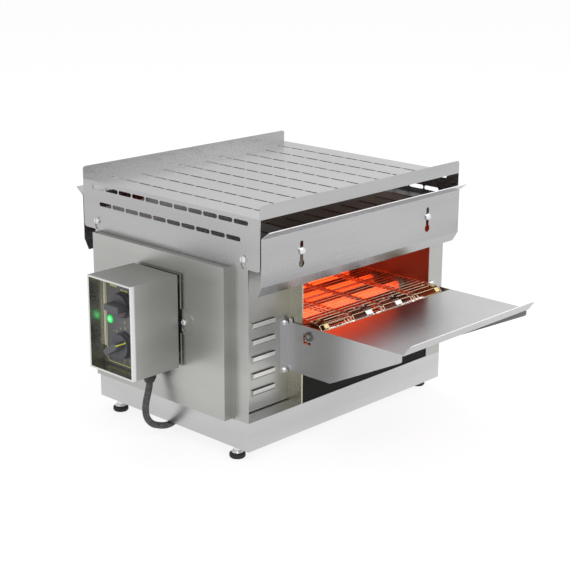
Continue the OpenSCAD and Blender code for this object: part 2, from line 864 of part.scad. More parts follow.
module belt_guides() {
  bow_y = (guide_r - bow_over) * sin(guide_turn);
  bow_z = shaft_h + (guide_r - bow_over) * cos(guide_turn);
  bow_x = guide_gap / 2 + guide_wire;
  color("#8c6b4a") {
    for (x = [-guide_x, 0, guide_x]) {
      for (s = [-1, 1]) {
        wire_x = tunnel_shift + x + s * guide_gap / 2;
        rod_y(wire_x, front_y, guide_z, guide_wire, rear_y - front_y);
        for (end = [[front_y, 90], [rear_y, 90 - guide_turn]])
          translate([wire_x, end[0], shaft_h]) rotate([90, 0, 90]) rotate(end[1])
            rotate_extrude(angle = guide_turn) translate([guide_r, 0]) circle(d = guide_wire, $fn = 24);
      }
      for (y = [front_y - bow_y, rear_y + bow_y])
        rod_x(tunnel_shift + x - bow_x, y, bow_z, guide_wire + bow_over, 2 * bow_x);
    }
    for (s = [-1, 1]) rod_x(tun_l, s * tube_pitch * 1.5, cross_z, cross_wire, tunnel_w);
  }
}

module wire_belt() {
  color("#8a6a4c") translate([tunnel_shift, rear_y, shaft_h]) {
    for (i = [0:2 * belt_span + belt_teeth - 1]) {
      p = loop_at(i, belt_teeth, belt_span, belt_pitch);
      rod_x(-belt_side, p[0], p[1], belt_wire, belt_w);
    }
    for (f = band_rows) translate([f * (belt_side - band_w), 0, 0]) along_x(band_w) difference() {
      loop_2d(belt_teeth, belt_span, belt_pitch, band_t / 2);
      loop_2d(belt_teeth, belt_span, belt_pitch, -band_t / 2);
    }
  }
}

module front_shaft() {
  l = belt_side + 4;
  color("#c9c9cc") difference() {
    union() {
      rod_x(tunnel_shift - l, front_y, shaft_h, shaft_d, 2 * l);
      rod_x(tray_x - journal_out, front_y, shaft_h, journal_d, tun_r - tray_x + 2 * journal_out);
    }
    for (x = [tray_x - journal_out, tun_r + journal_out])
      rod_x(x - centre_drill, front_y, shaft_h, centre_drill, 2 * centre_drill);
  }
}

module sprockets(y) {
  for (x = [-sprocket_near, sprocket_near]) translate([tunnel_shift + x, y, shaft_h])
    toothed(belt_teeth, belt_pitch, belt_wire, tooth_w, tooth_up, sprocket_w, shaft_d);
  for (x = [-sprocket_far, sprocket_far]) translate([tunnel_shift + x, y, shaft_h])
    toothed(belt_teeth, belt_pitch, belt_wire, tooth_w, tooth_up, edge_sprocket_w, shaft_d);
}

module front_sprockets() {
  color("#d2d2d4") sprockets(front_y);
}

module rear_shaft() {
  l = tun_r + sheet + 4;
  color("#c9c9cc") {
    rod_x(chain_x - 5, rear_y, shaft_h, shaft_d, l - chain_x + 5);
    translate([chain_x, rear_y, shaft_h]) rotate([chain_tilt, 0, 0])
      toothed(chain_teeth, chain_pitch, chain_pin, chain_tooth, 1.4, chain_tooth_w, shaft_d);
  }
}

module rear_sprockets() {
  color("#d2d2d4") sprockets(rear_y);
}

module bush(x, y, out, bore, l, s) {
  difference() {
    union() {
      rod_x(x - (s > 0 ? 0 : l), y, shaft_h, out, l);
      rod_x(x + (s > 0 ? l - 1.5 : -l), y, shaft_h, out + 2 * bush_flange, 1.5);
    }
    rod_x(x - 2 * l, y, shaft_h, bore, 4 * l);
  }
}

module shaft_bearings() {
  color("#b08d57") {
    bush(tray_x + sheet, front_y, bush_d, journal_d + 2 * run_play, sheet + 1.5, -1);
    bush(tun_r - sheet, front_y, bush_d, journal_d + 2 * run_play, sheet + 1.5, 1);
    bush(tun_l, rear_y, rear_bush_d, shaft_d + 2 * run_play, sheet + 1.5, -1);
    bush(tun_r, rear_y, rear_bush_d, shaft_d + 2 * run_play, sheet + 1.5, 1);
  }
}

module drive_chain() {
  color("#6d6a64") translate([chain_x, rear_y, shaft_h]) rotate([chain_tilt, 0, 0]) {
    for (i = [0:2 * chain_span + chain_teeth - 1]) {
      p = loop_at(i, chain_teeth, chain_span, chain_pitch);
      rod_x(-chain_gap / 2 - chain_plate, p[0], p[1], chain_pin, chain_gap + 2 * chain_plate);
    }
    for (s = [-1, 1]) translate([s * (chain_gap + chain_plate) / 2, 0, 0]) along_x(chain_plate)
      difference() {
        loop_2d(chain_teeth, chain_span, chain_pitch, chain_plate_h / 2);
        loop_2d(chain_teeth, chain_span, chain_pitch, -chain_plate_h / 2);
      }
  }
}

module motor_sprocket() {
  color("#8f8f92") translate([0, motor_y, motor_z]) {
    rod_x(bracket_x - bracket_t + slip, 0, 0, motor_shaft_d, chain_x - bracket_x + bracket_t + 4);
    translate([chain_x, 0, 0]) rotate([chain_tilt, 0, 0])
      toothed(chain_teeth, chain_pitch, chain_pin, chain_tooth, 1.4, chain_tooth_w, motor_shaft_d);
  }
}

module gear_motor() {
  x = bracket_x - bracket_t;
  color("#77787c") {
    block([x - gearbox[0], motor_y - gearbox[1] / 2, motor_z - gearbox[2] / 2],
      [x, motor_y + gearbox[1] / 2, motor_z + gearbox[2] / 2]);
    rod_x(x - gearbox[0] - motor_l, motor_y, motor_z, motor_d, motor_l);
  }
}

module motor_bracket() {
  half = gearbox[1] / 2 + bracket_over;
  color("#9c9c99") difference() {
    union() {
      block([bracket_x - bracket_t, motor_y - half, base_top],
        [bracket_x, motor_y + half, motor_z + gearbox[2] / 2]);
      block([bracket_x - bracket_foot, motor_y - half, base_top],
        [bracket_x, motor_y + half, base_top + bracket_t]);
    }
    rod_x(bracket_x - 2 * bracket_t, motor_y, motor_z, motor_shaft_d + 2, 3 * bracket_t);
  }
}

module terminal_block() {
  pole = 11;
  poles = 5;
  x = -side + 42;
  color("#e6e2d6") difference() {
    block([x, -pole * poles / 2 - 60, base_top], [x + 28, pole * poles / 2 - 60, base_top + 24]);
    for (k = [0:poles - 1], dx = [7, 21])
      translate([x + dx, (k - (poles - 1) / 2) * pole - 60, base_top + 12]) cylinder(d = 6, h = 20);
  }
}

module control_box() {
  y = box_y;
  h = box_w / 2;
  color("#b2b2ae") difference() {
    block([box_rim, y - h, box_low], [box_back, y + h, box_low + box_h]);
    block([box_rim + sheet, y - h + sheet, box_low + sheet],
      [box_back - sheet, y + h - sheet, box_low + box_h - sheet]);
    block([box_rim - 1, y - h + rim_hem, box_low + rim_hem],
      [box_rim + 2 * sheet, y + h - rim_hem, box_low + box_h - rim_hem]);
    translate([gland_x, gland_y, box_low - 1]) cylinder(d = gland_d - 6 + 2 * hole_play, h = sheet + 2);
  }
}

module control_bracket() {
  h = box_w / 2;
  mid = box_low + box_h / 2;
  color("#b6b6b2") {
    translate([-cover_out - sheet / 2, 0, 0]) along_x(sheet) difference() {
      union() {
        translate([box_y, mid]) square([box_w, box_h], center = true);
        for (s = [-1, 1]) translate([box_y + s * (h + ear_out), mid]) circle(r = ear_r, $fn = 96);
      }
      for (s = [-1, 1]) translate([box_y + s * (h + ear_out), mid])
        keyhole(0, 11, m5 + 2 * hole_play, m5_head_d + keyhole_play);
    }
    for (s = [-1, 1], t = [-1, 1]) rod_x(box_back, box_y + s * (h - 14), mid + t * (box_h / 2 - 16),
      boss_d, box_gap - sheet);
  }
}

module control_screws() {
  mid = box_low + box_h / 2;
  color("#e4e4e6") for (s = [-1, 1])
    translate([-cover_out - sheet, box_y + s * (box_w / 2 + ear_out), mid]) rotate([0, -90, 0])
      screw(m5, m5_head_d, m5_head_h, sheet);
}

module control_fascia() {
  h = box_w / 2 - sheet - fascia_fit;
  color("#34383f") difference() {
    block([fascia_x, box_y - h, box_low + sheet + fascia_fit],
      [fascia_x + fascia_t, box_y + h, box_low + box_h - sheet - fascia_fit]);
    for (z = [selector_z, speed_z]) rod_x(fascia_x - 1, box_y, z, spindle_d + 1, fascia_t + 2);
    rod_x(fascia_x - 1, lamp_y, lamp_z, lamp_d - 2, fascia_t + 2);
  }
}

module selector_switch() {
  x = fascia_x + fascia_t;
  color("#2d2d2f") difference() {
    block([x, box_y - 20, selector_z - 20], [x + 32, box_y + 20, selector_z + 20]);
    rod_x(x - 1, box_y, selector_z, spindle_d + 2 * run_play, spindle_l + 1);
  }
}

module speed_regulator() {
  x = fascia_x + fascia_t;
  color("#2d2d2f") difference() {
    rod_x(x, box_y, speed_z, 36, 24);
    rod_x(x - 1, box_y, speed_z, spindle_d + 2 * run_play, spindle_l + 1);
  }
}

// A pointer knob whose bar points to +Y
module knob() {
  difference() {
    union() {
      rod_x(-slip - skirt_t, 0, 0, knob_d, skirt_t);
      translate([-slip - skirt_t, 0, 0]) rotate([0, -90, 0])
        cylinder(d1 = knob_d * hub_low, d2 = knob_d * hub_top, h = hub_h);
      intersection() {
        block([-knob_h, -knob_d, -bar_w / 2], [-slip, bar_tip, bar_w / 2]);
        rod_x(-knob_h, 0, 0, knob_d - 2 * bar_end, knob_h);
      }
      rod_x(-slip - skirt_t, 0, 0, spindle_d, skirt_t + slip + fascia_t + spindle_l - 2);
    }
    block([-knob_h - 1, bar_tip - 0.8, -0.8], [-slip - skirt_t - hub_h, knob_d, 0.8]);
  }
}

module selector_knob() {
  color("#33363c") translate([fascia_x, box_y, selector_z]) knob();
}

module speed_knob() {
  color("#33363c") translate([fascia_x, box_y, speed_z]) rotate([90 + speed_angle, 0, 0]) knob();
}

module pilot_lamp() {
  color("#35d060") translate([fascia_x, lamp_y, lamp_z]) {
    rotate([0, -90, 0]) cylinder(d1 = lamp_d, d2 = lamp_d - 2 * lamp_dome, h = lamp_dome);
    rod_x(0, 0, 0, lamp_d - 2.4, 22);
  }
}

module cable_gland() {
  color("#2e2e30") translate([gland_x, gland_y, box_low]) difference() {
    union() {
      translate([0, 0, -gland_nut]) cylinder(d = gland_d, h = gland_nut);
      translate([0, 0, -gland_l]) cylinder(d1 = cable_d + 4, d2 = gland_d, h = gland_l - gland_nut);
      translate([0, 0, -1]) cylinder(d = gland_d - 6, h = sheet + 9);
      translate([0, 0, sheet]) cylinder(d = gland_d, h = 4);
    }
    translate([0, 0, -gland_l - 1]) cylinder(d = cable_d + 0.4, h = gland_l + 20);
  }
}

// The rings of a tube that follows the cable's points, and its closed skin
function unit(v) = v / norm(v);
function way(k) = unit(cable_points[min(k + 1, len(cable_points) - 1)] - cable_points[max(k - 1, 0)]);
cable_sides = 10;

module control_cable() {
  rings = [for (k = [0:len(cable_points) - 1]) let (t = way(k), n = [t[2], 0, -t[0]])
    [for (j = [0:cable_sides - 1]) let (a = j * 360 / cable_sides)
      cable_points[k] + cable_d / 2 * (cos(a) * n + sin(a) * [0, 1, 0])]];
  n = cable_sides;
  last = (len(cable_points) - 1) * n;
  color("#3c3c3e") polyhedron(
    points = [for (ring = rings, p = ring) p],
    faces = concat(
      [for (k = [0:len(cable_points) - 2], j = [0:n - 1])
        [k * n + j, (k + 1) * n + j, (k + 1) * n + (j + 1) % n, k * n + (j + 1) % n]],
      [[for (j = [0:n - 1]) j]],
      [[for (j = [0:n - 1]) last + n - 1 - j]]
    )
  );
}

module base_grommet() {
  color("#222224") translate([entry_x, gland_y, foot_h]) difference() {
    union() {
      translate([0, 0, -grommet_deep]) linear_extrude(grommet_deep)
        slot(entry_slot[0] + 2 * grommet_lip, entry_slot[1] + 2 * grommet_lip);
      linear_extrude(sheet) slot(entry_slot[0], entry_slot[1]);
    }
    translate([0, 0, -2 * grommet_deep]) linear_extrude(8)
      slot(entry_slot[0] - 2 * grommet_wall, entry_slot[1] - 2 * grommet_wall);
  }
}

module foot_pad(k) {
  color("#1d1d1f") translate(foot_at(k)) rotate_extrude() polygon([[0, 0], [foot_d / 2 - 1.5, 0],
    [foot_d / 2, 2], [foot_d / 2, foot_pad_h - 2.5], [foot_d / 2 - 3, foot_pad_h], [0, foot_pad_h]]);
}

module foot_stud(k) {
  collar = foot_h - foot_pad_h - foot_cone_h - slip;
  color("#d5d5d8") translate(foot_at(k) + [0, 0, foot_pad_h]) {
    cylinder(d1 = foot_d - 7, d2 = foot_d - 11, h = foot_cone_h);
    translate([0, 0, foot_cone_h]) cylinder(d = foot_stud_d + 4, h = collar);
    translate([0, 0, foot_cone_h]) cylinder(d = foot_stud_d, h = collar + foot_stud_up);
  }
}

base_chassis();
bottom_plate();
left_side_wall();
right_side_wall();
front_louver_panel();
rear_louver_panel();
tunnel_left_wall();
tunnel_right_wall();
heat_deck();
cross_rails();
top_cover();
cover_screws();
left_side_cover();
side_cover_screws();
hood_standoffs();
front_hood();
rear_hood();
hood_screws();
exit_tray();
loading_tray();
tray_screws();
crumb_tray();
upper_reflector();
lower_reflector();
tube_holders();
upper_tubes();
lower_tubes();
heating_coils();
belt_guides();
wire_belt();
front_shaft();
front_sprockets();
rear_shaft();
rear_sprockets();
shaft_bearings();
drive_chain();
motor_sprocket();
gear_motor();
motor_bracket();
terminal_block();
control_box();
control_bracket();
control_screws();
control_fascia();
selector_switch();
speed_regulator();
selector_knob();
speed_knob();
pilot_lamp();
cable_gland();
control_cable();
base_grommet();
for (k = [1:4]) {
  foot_pad(k);
  foot_stud(k);
}
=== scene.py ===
"""The looks of a countertop conveyor oven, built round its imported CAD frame."""

import json
import math

import bpy
from bpy.props import FloatProperty, FloatVectorProperty, IntProperty, PointerProperty
from mathutils import Matrix, Vector

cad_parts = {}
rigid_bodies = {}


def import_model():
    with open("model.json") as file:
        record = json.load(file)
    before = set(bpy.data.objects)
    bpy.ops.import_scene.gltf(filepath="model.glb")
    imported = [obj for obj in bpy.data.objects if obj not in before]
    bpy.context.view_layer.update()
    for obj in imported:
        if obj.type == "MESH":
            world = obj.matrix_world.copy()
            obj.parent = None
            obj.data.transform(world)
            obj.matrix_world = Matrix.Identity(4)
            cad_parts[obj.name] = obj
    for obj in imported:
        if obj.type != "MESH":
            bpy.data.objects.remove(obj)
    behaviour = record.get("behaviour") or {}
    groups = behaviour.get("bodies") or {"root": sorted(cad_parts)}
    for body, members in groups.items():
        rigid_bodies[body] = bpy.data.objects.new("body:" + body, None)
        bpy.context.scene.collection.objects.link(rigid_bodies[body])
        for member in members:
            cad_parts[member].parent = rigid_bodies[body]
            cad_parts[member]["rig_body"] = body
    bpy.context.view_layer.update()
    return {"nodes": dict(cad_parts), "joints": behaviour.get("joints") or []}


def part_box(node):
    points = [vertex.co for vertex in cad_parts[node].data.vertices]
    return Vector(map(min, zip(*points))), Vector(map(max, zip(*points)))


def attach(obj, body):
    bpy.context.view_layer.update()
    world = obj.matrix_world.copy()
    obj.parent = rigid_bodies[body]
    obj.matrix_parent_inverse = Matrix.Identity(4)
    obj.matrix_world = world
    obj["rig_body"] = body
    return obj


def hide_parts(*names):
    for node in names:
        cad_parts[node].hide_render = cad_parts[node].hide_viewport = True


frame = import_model()

bl_info = {
    "name": "Conveyor oven",
    "version": (1, 0, 0),
    "blender": (4, 5, 0),
    "location": "View3D > Sidebar > Oven",
    "description": "Dresses the CAD model of a countertop conveyor oven",
    "category": "Object",
}

HOUSING = "housing"  # the body that every fixed piece rides on

# Boxes and joints of the frame that several pieces share, in metres
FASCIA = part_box("control_fascia")
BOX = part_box("control_box")
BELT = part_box("wire_belt")
JOINTS = {joint["name"]: joint for joint in frame["joints"]}
FEET = (1, 2, 3, 4)


def colour(name, what, value):
    """A colour setting, written as linear red, green and blue."""
    return FloatVectorProperty(
        name=name, description=what, default=value, subtype="COLOR", size=3, min=0, max=1)


def length(name, what, value):
    """A size setting in metres."""
    return FloatProperty(
        name=name, description=what, default=value, min=0, subtype="DISTANCE", unit="LENGTH")


def number(name, what, value):
    """A plain number setting that isn't negative."""
    return FloatProperty(name=name, description=what, default=value, min=0)


def degrees(name, what, value):
    """An angle setting in degrees."""
    return FloatProperty(name=name, description=what, default=value)


class OvenFinishes(bpy.types.PropertyGroup):
    """Colours of the oven's pieces, and how round its sheet edges are"""

    # The brushed steel tints differ from part to part, partly the steel's own tone and partly
    # painted shade and painted highlight: each was set to how bright its part shows under the light
    cool_steel: colour("Cool steel", "Brushed steel of the cover", (0.43, 0.43, 0.435))
    tray_steel: colour("Tray steel", "Brushed steel of the two trays", (0.47, 0.47, 0.475))
    hood_steel: colour("Hood steel", "Brushed steel of the hoods", (0.42, 0.42, 0.425))
    base_steel: colour("Base steel", "Brushed steel of the base", (0.56, 0.56, 0.565))
    # Painted highlight: a paler colour on the trays' outer side sheets in place of their bright
    # reflections
    gusset_highlight: colour("Gusset steel", "Outer side sheets of the trays", (0.54, 0.54, 0.545))
    warm_steel: colour("Warm steel", "Brushed steel of walls and side cover", (0.44, 0.44, 0.425))
    # Painted highlight: the louvers' faces are made brighter in place of the sky they reflect
    louver_highlight: colour("Louver steel", "Louvers that stand out", (0.74, 0.74, 0.72))
    box_steel: colour("Box steel", "Fine-grained steel of the control box", (0.42, 0.42, 0.40))
    lining_steel: colour("Box lining", "Inside of the control box", (0.46, 0.46, 0.42))
    # Painted highlights: a bright colour along the box's front rim and down its front bend, where
    # the edges catch the light
    rim_highlight: colour("Box rim", "Cut rim of the control box", (0.68, 0.68, 0.66))
    bend_highlight: colour("Box bend", "Rubbed front bend of the control box", (0.90, 0.90, 0.92))
    stained_steel: colour("Stained steel", "Sheet yellowed by heat", (0.52, 0.50, 0.41))
    browned_steel: colour("Browned steel", "Sheet inside the tunnel", (0.20, 0.12, 0.08))
    dull_steel: colour("Dull steel", "Plain sheet inside the body", (0.22, 0.21, 0.20))
    polished: colour("Polished steel", "Screws and shafts", (0.72, 0.72, 0.74))
    sprocket: colour("Sprocket steel", "Sprockets in the middle of the belt", (0.40, 0.40, 0.41))
    brass: colour("Yellowed steel", "Sprockets that heat has yellowed", (0.33, 0.28, 0.13))
    oiled: colour("Oiled steel", "Drive chain and dark screws", (0.06, 0.058, 0.055))
    motor: colour("Motor", "Paint of the gear motor", (0.09, 0.095, 0.11))
    cream: colour("Cream plastic", "Terminal block", (0.70, 0.66, 0.56))
    black: colour("Black plastic", "Gland, switch and regulator", (0.018, 0.018, 0.020))
    wire_tint: colour("Heated wire", "Heat-tinted wire of the belt", (0.50, 0.35, 0.25))
    # Partly painted shade: the crumb tray's near-black enamel also stands in for the shade of the
    # unlit space below the belt
    enamel: colour("Enamel", "Black enamel of the crumb tray", (0.006, 0.006, 0.005))
    fascia: colour("Fascia", "Painted plate behind the knobs", (0.170, 0.168, 0.180))
    knob: colour("Knob", "Moulded knobs", (0.090, 0.092, 0.104))
    # Painted reflection: the strip beside the fascia is given a pale paint in place of the bright
    # reflection it shows
    margin: colour("Margin", "Pale strip beside the fascia", (0.80, 0.78, 0.70))
    mark: colour("Marks", "Printed border and ticks", (0.86, 0.80, 0.26))
    stop: colour("Stop mark", "Red mark on the selector knob", (0.30, 0.012, 0.012))
    pointer: colour("Pointer", "Pointer lines of the knobs", (0.95, 0.90, 0.14))
    lamp: colour("Lamp", "Lit lens of the pilot lamp", (0.02, 0.85, 0.16))
    sheath: colour("Cable", "Sheath of the control cable", (0.045, 0.045, 0.046))
    rubber: colour("Rubber", "Foot pads and grommet", (0.012, 0.012, 0.013))
    edge: length("Sheet edge", "How far the cut edges of sheet parts are rounded", 0.0003)


class OvenHeat(bpy.types.PropertyGroup):
    """Glow of the quartz tubes"""

    glow: colour("Glow", "Colour of a lit tube", (1.0, 0.062, 0.006))
    strength: number("Glow strength", "How brightly a lit tube shines", 3.2)


class OvenBelt(bpy.types.PropertyGroup):
    """Sizes of the wire belt"""

    wire: length("Wire diameter", "Thickness of one cross wire", 0.0016)
    pitch: length("Pitch", "Distance from one cross wire to the next", 0.010)
    teeth: IntProperty(
        name="Teeth", description="Wires round one full turn of a sprocket", default=12, min=6)
    span: IntProperty(name="Span", description="Pitches between the two shafts", default=34, min=4)
    hook: length("Hook width", "Width of one bend that links a wire to the next", 0.006)


class OvenControls(bpy.types.PropertyGroup):
    """Sizes of the knobs and the control cable"""

    knob_d: length("Knob diameter", "Across a knob's skirt", 0.042)
    knob_h: length("Knob height", "From the fascia to the top of the grip", 0.029)
    bar_w: length("Grip width", "Across the grip bar of a knob", 0.011)
    cable_d: length("Cable diameter", "Across the control cable's sheath", 0.011)


class OvenStage(bpy.types.PropertyGroup):
    """Camera, lights and floor"""

    eye: FloatVectorProperty(
        name="Camera", description="Where the camera stands", subtype="TRANSLATION", unit="LENGTH",
        default=(-1.61588, -1.56908, 0.86839),
    )
    azimuth: degrees("Azimuth", "Direction of view, in degrees from +Y", -46.353)
    elevation: degrees("Elevation", "Height of the camera's view, in degrees", 16.469)
    roll: degrees("Roll", "Turn of the camera about its view, in degrees", 0.277)
    lens: number("Lens", "Focal length in millimetres on a 36 mm frame", 87.30)
    sky: number("Sky", "Strength of the even light from all round", 0.72)
    key: number("Key light", "Power of the main soft light, in watts", 40)
    paper: number("Paper white", "How white the floor shows, where 1 is white", 1.11)


class Value:
    """A socket whose sums add Math nodes."""

    def __init__(self, graph, socket):
        self.graph = graph
        self.socket = socket

    def _math(self, operation, *values):
        sockets = dict(enumerate(values))
        return self.graph.add("ShaderNodeMath", {"operation": operation}, sockets)

    def __add__(self, other):
        return self._math("ADD", self, other)

    def __radd__(self, other):
        return self._math("ADD", other, self)

    def __sub__(self, other):
        return self._math("SUBTRACT", self, other)

    def __rsub__(self, other):
        return self._math("SUBTRACT", other, self)

    def __mul__(self, other):
        return self._math("MULTIPLY", self, other)

    def __rmul__(self, other):
        return self._math("MULTIPLY", other, self)

    def __truediv__(self, other):
        return self._math("DIVIDE", self, other)

    def __abs__(self):
        return self._math("ABSOLUTE", self)

    def power(self, other):
        return self._math("POWER", self, other)

    def least(self, other):
        return self._math("MINIMUM", self, other)

    def most(self, other):
        return self._math("MAXIMUM", self, other)

    def within(self, low, high, blur=0.0004):
        """1 between the two edges and 0 outside them."""
        return self.above(low, blur) * (1.0 - self.above(high, blur))

    def above(self, edge, blur):
        """0 below the edge and 1 above it, changing over the blur's width."""
        sockets = {"Value": self, "From Min": edge - blur / 2, "From Max": edge + blur / 2}
        return self.graph.add("ShaderNodeMapRange", {"interpolation_type": "SMOOTHSTEP"}, sockets)


class Graph:
    """The nodes of one material or world."""

    def __init__(self, owner):
        owner.use_nodes = True
        self.tree = owner.node_tree
        self.tree.nodes.clear()

    def add(self, kind, settings=None, sockets=None, output=0):
        """One node: its settings, then the values or links of its sockets. Gives its output."""
        node = self.tree.nodes.new(kind)
        for name, value in (settings or {}).items():
            setattr(node, name, value)
        for name, value in (sockets or {}).items():
            self.feed(node.inputs[name], value)
        return Value(self, node.outputs[output]) if node.outputs else None

    def feed(self, socket, value):
        if isinstance(value, Value):
            self.tree.links.new(value.socket, socket)
        elif socket.type == "RGBA" and len(value) == 3:
            socket.default_value = (*value, 1.0)
        else:
            socket.default_value = value

    def place(self):
        return self.add("ShaderNodeTexCoord", output="Object")

    def axes(self):
        """The X, Y and Z of a point on the piece."""
        split = self.add("ShaderNodeSeparateXYZ", sockets={"Vector": self.place()})
        outputs = split.socket.node.outputs
        return [Value(self, outputs[name]) for name in "XYZ"]

    def noise(self, scale, detail=2.0, stretch=(1.0, 1.0, 1.0)):
        """Noise in the piece's own place. scale is in cells per metre, and stretch draws it out."""
        reach = [scale * s for s in stretch]
        there = self.add("ShaderNodeMapping", sockets={"Vector": self.place(), "Scale": reach})
        sockets = {"Vector": there, "Scale": 1.0, "Detail": detail}
        return self.add("ShaderNodeTexNoise", {"noise_dimensions": "3D"}, sockets, output="Fac")

    def mix(self, mask, first, second):
        """The first colour where the mask is 0 and the second where it is 1."""
        sockets = {0: mask, 6: first, 7: second}
        return self.add("ShaderNodeMix", {"data_type": "RGBA"}, sockets, output=2)

    def bump(self, height, distance):
        sockets = {"Height": height, "Distance": distance, "Strength": 1.0}
        return self.add("ShaderNodeBump", sockets=sockets, output="Normal")

    def surface(self, sockets):
        """The shader, wired to the output."""
        shader = self.add("ShaderNodeBsdfPrincipled", sockets=sockets, output="BSDF")
        self.add("ShaderNodeOutputMaterial", sockets={"Surface": shader})


def graph_for(name):
    material = bpy.data.materials.new(name)
    return material, Graph(material)


def shade(tint, amount):
    """A colour made lighter or darker."""
    return tuple(min(1.0, channel * amount) for channel in tint)


def brushed_steel(name, tint, along, roughness=0.26, grime=0.0, dress=None):
    """Brushed stainless sheet. along holds how finely the grain runs on each axis, and dress
    changes its colour and roughness by place."""
    material, g = graph_for(name)
    grain = g.noise(1.0, detail=3.0, stretch=along)
    cloud = g.noise(1.0, detail=1.5, stretch=(2.6, 2.6, 15.0))
    smear = g.noise(24.0, detail=4.0)
    pale = g.mix(grain, shade(tint, 1.02), shade(tint, 1.14))
    deep = g.mix(grain, shade(tint, 0.86), shade(tint, 0.98))
    tone = g.mix(cloud.above(0.5, 0.45), deep, pale)
    rough = roughness + (grain - 0.5) * 0.08 + (smear - 0.5) * 0.08
    if grime:
        tone = g.mix(smear.above(0.62, 0.2) * grime, tone, shade(tint, 0.7))
    if dress:
        tone, rough = dress(g, tone, rough)
    g.surface({
        "Base Color": tone,
        "Metallic": 1.0,
        "Roughness": rough,
        "Normal": g.bump(grain, 0.00003),
    })
    return material


def polished_steel(name, tint, roughness=0.16):
    """Plated or polished steel with faint turning marks and rubbed patches."""
    material, g = graph_for(name)
    rub = g.noise(160.0, detail=3.0)
    fine = g.noise(1400.0, detail=1.0)
    g.surface({
        "Base Color": g.mix(rub, shade(tint, 0.90), shade(tint, 1.05)),
        "Metallic": 1.0,
        "Roughness": roughness + (rub - 0.5) * 0.12,
        "Normal": g.bump(fine, 0.00002),
    })
    return material


def heated_wire(name, tint):
    """Stainless wire that heat has tinted brown, rubbed bright in places."""
    material, g = graph_for(name)
    patch = g.noise(70.0, detail=3.0)
    rubbed = g.noise(240.0, detail=2.0).above(0.62, 0.12)
    bare = (0.62, 0.50, 0.38)
    tone = g.mix(patch, shade(tint, 0.7), shade(tint, 1.35))
    tone = g.mix(rubbed * 0.6, tone, bare)
    g.surface({
        "Base Color": tone,
        "Metallic": 1.0,
        "Roughness": 0.36 - rubbed * 0.12 + (patch - 0.5) * 0.1,
        "Normal": g.bump(patch, 0.00006),
    })
    return material


def enamel(name, tint):
    """Vitreous enamel: deep and a little wavy, with fine specks."""
    material, g = graph_for(name)
    wave = g.noise(60.0, detail=2.0)
    speck = g.noise(900.0, detail=1.0).above(0.72, 0.05)
    g.surface({
        "Base Color": g.mix(speck * 0.4, tint, shade(tint, 4.0)),
        "Roughness": 0.42 + (wave - 0.5) * 0.12,
        "Specular IOR Level": 0.10,
        "Normal": g.bump(wave, 0.0001),
    })
    return material


def painted(name, tint, roughness=0.42):
    """Powder paint with a fine orange-peel surface."""
    material, g = graph_for(name)
    peel = g.noise(900.0, detail=2.0)
    cloud = g.noise(30.0, detail=2.0)
    g.surface({
        "Base Color": g.mix(cloud, shade(tint, 0.92), shade(tint, 1.10)),
        "Roughness": roughness + (cloud - 0.5) * 0.08,
        "Normal": g.bump(peel, 0.00005),
    })
    return material


def moulded(name, tint, roughness=0.5):
    """Moulded plastic with a fine spark-eroded texture."""
    material, g = graph_for(name)
    pits = g.noise(1600.0, detail=2.0)
    worn = g.noise(120.0, detail=3.0)
    g.surface({
        "Base Color": g.mix(worn, shade(tint, 0.88), shade(tint, 1.18)),
        "Roughness": roughness + (pits - 0.5) * 0.14,
        "Normal": g.bump(pits, 0.00006),
    })
    return material


def soft_rubber(name, tint, roughness=0.72):
    """Matt rubber, dusty in places."""
    material, g = graph_for(name)
    dust = g.noise(190.0, detail=4.0)
    g.surface({
        "Base Color": g.mix(dust.above(0.55, 0.4), tint, shade(tint, 2.2)),
        "Roughness": roughness + (dust - 0.5) * 0.2,
        "Normal": g.bump(dust, 0.00008),
    })
    return material


def ceramic(name):
    """Unglazed ceramic, browned by heat."""
    material, g = graph_for(name)
    grit = g.noise(700.0, detail=3.0)
    burn = g.noise(45.0, detail=3.0)
    clean, burnt = (0.30, 0.24, 0.18), (0.10, 0.055, 0.035)
    g.surface({
        "Base Color": g.mix(burn.above(0.5, 0.5), clean, burnt),
        "Roughness": 0.8 + (grit - 0.5) * 0.2,
        "Normal": g.bump(grit, 0.00008),
    })
    return material


def lit_quartz(name, glow, strength, middle, reach):
    """A lit quartz tube: cooler and redder towards both ends."""
    material, g = graph_for(name)
    unlit, hot, cool = (0.30, 0.10, 0.06), (1.0, 0.085, 0.020), (0.16, 0.006, 0.001)
    x, _, _ = g.axes()
    ends = (abs(x - middle) / reach).power(5.0).least(1.0)
    streak = g.noise(1.0, detail=2.0, stretch=(14.0, 260.0, 260.0))
    warm = g.mix(streak.above(0.5, 0.5) * 0.4, glow, hot)
    g.surface({
        "Base Color": unlit,
        "Roughness": 0.32,
        "Emission Color": g.mix(ends, warm, cool),
        "Emission Strength": strength,
    })
    return material


def lit_lens(name, tint):
    """A lit green lens, palest in its middle and darker round its edge."""
    material, g = graph_for(name)
    low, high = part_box("pilot_lamp")
    _, y, z = g.axes()
    across = y - (low[1] + high[1]) / 2
    upward = z - (low[2] + high[2]) / 2
    out = (across.power(2.0) + upward.power(2.0)).power(0.5)
    edge = out.above((high[1] - low[1]) * 0.42, 0.0016)
    ripple = g.noise(500.0, detail=1.0)
    filament = (0.45, 1.0, 0.55)
    middle = g.mix(out.above(0.0030, 0.0040), filament, shade(tint, 0.85))
    g.surface({
        "Base Color": tint,
        "Roughness": 0.18,
        "Emission Color": g.mix(edge, middle, shade(tint, 0.07)),
        "Emission Strength": 0.9,
        "Normal": g.bump(ripple, 0.0001),
    })
    return material


def printed(name, tint):
    """Screen-printed ink, a little uneven."""
    material, g = graph_for(name)
    wear = g.noise(800.0, detail=2.0)
    g.surface({
        "Base Color": g.mix(wear, shade(tint, 0.85), shade(tint, 1.1)),
        "Roughness": 0.5 + (wear - 0.5) * 0.2,
    })
    return material


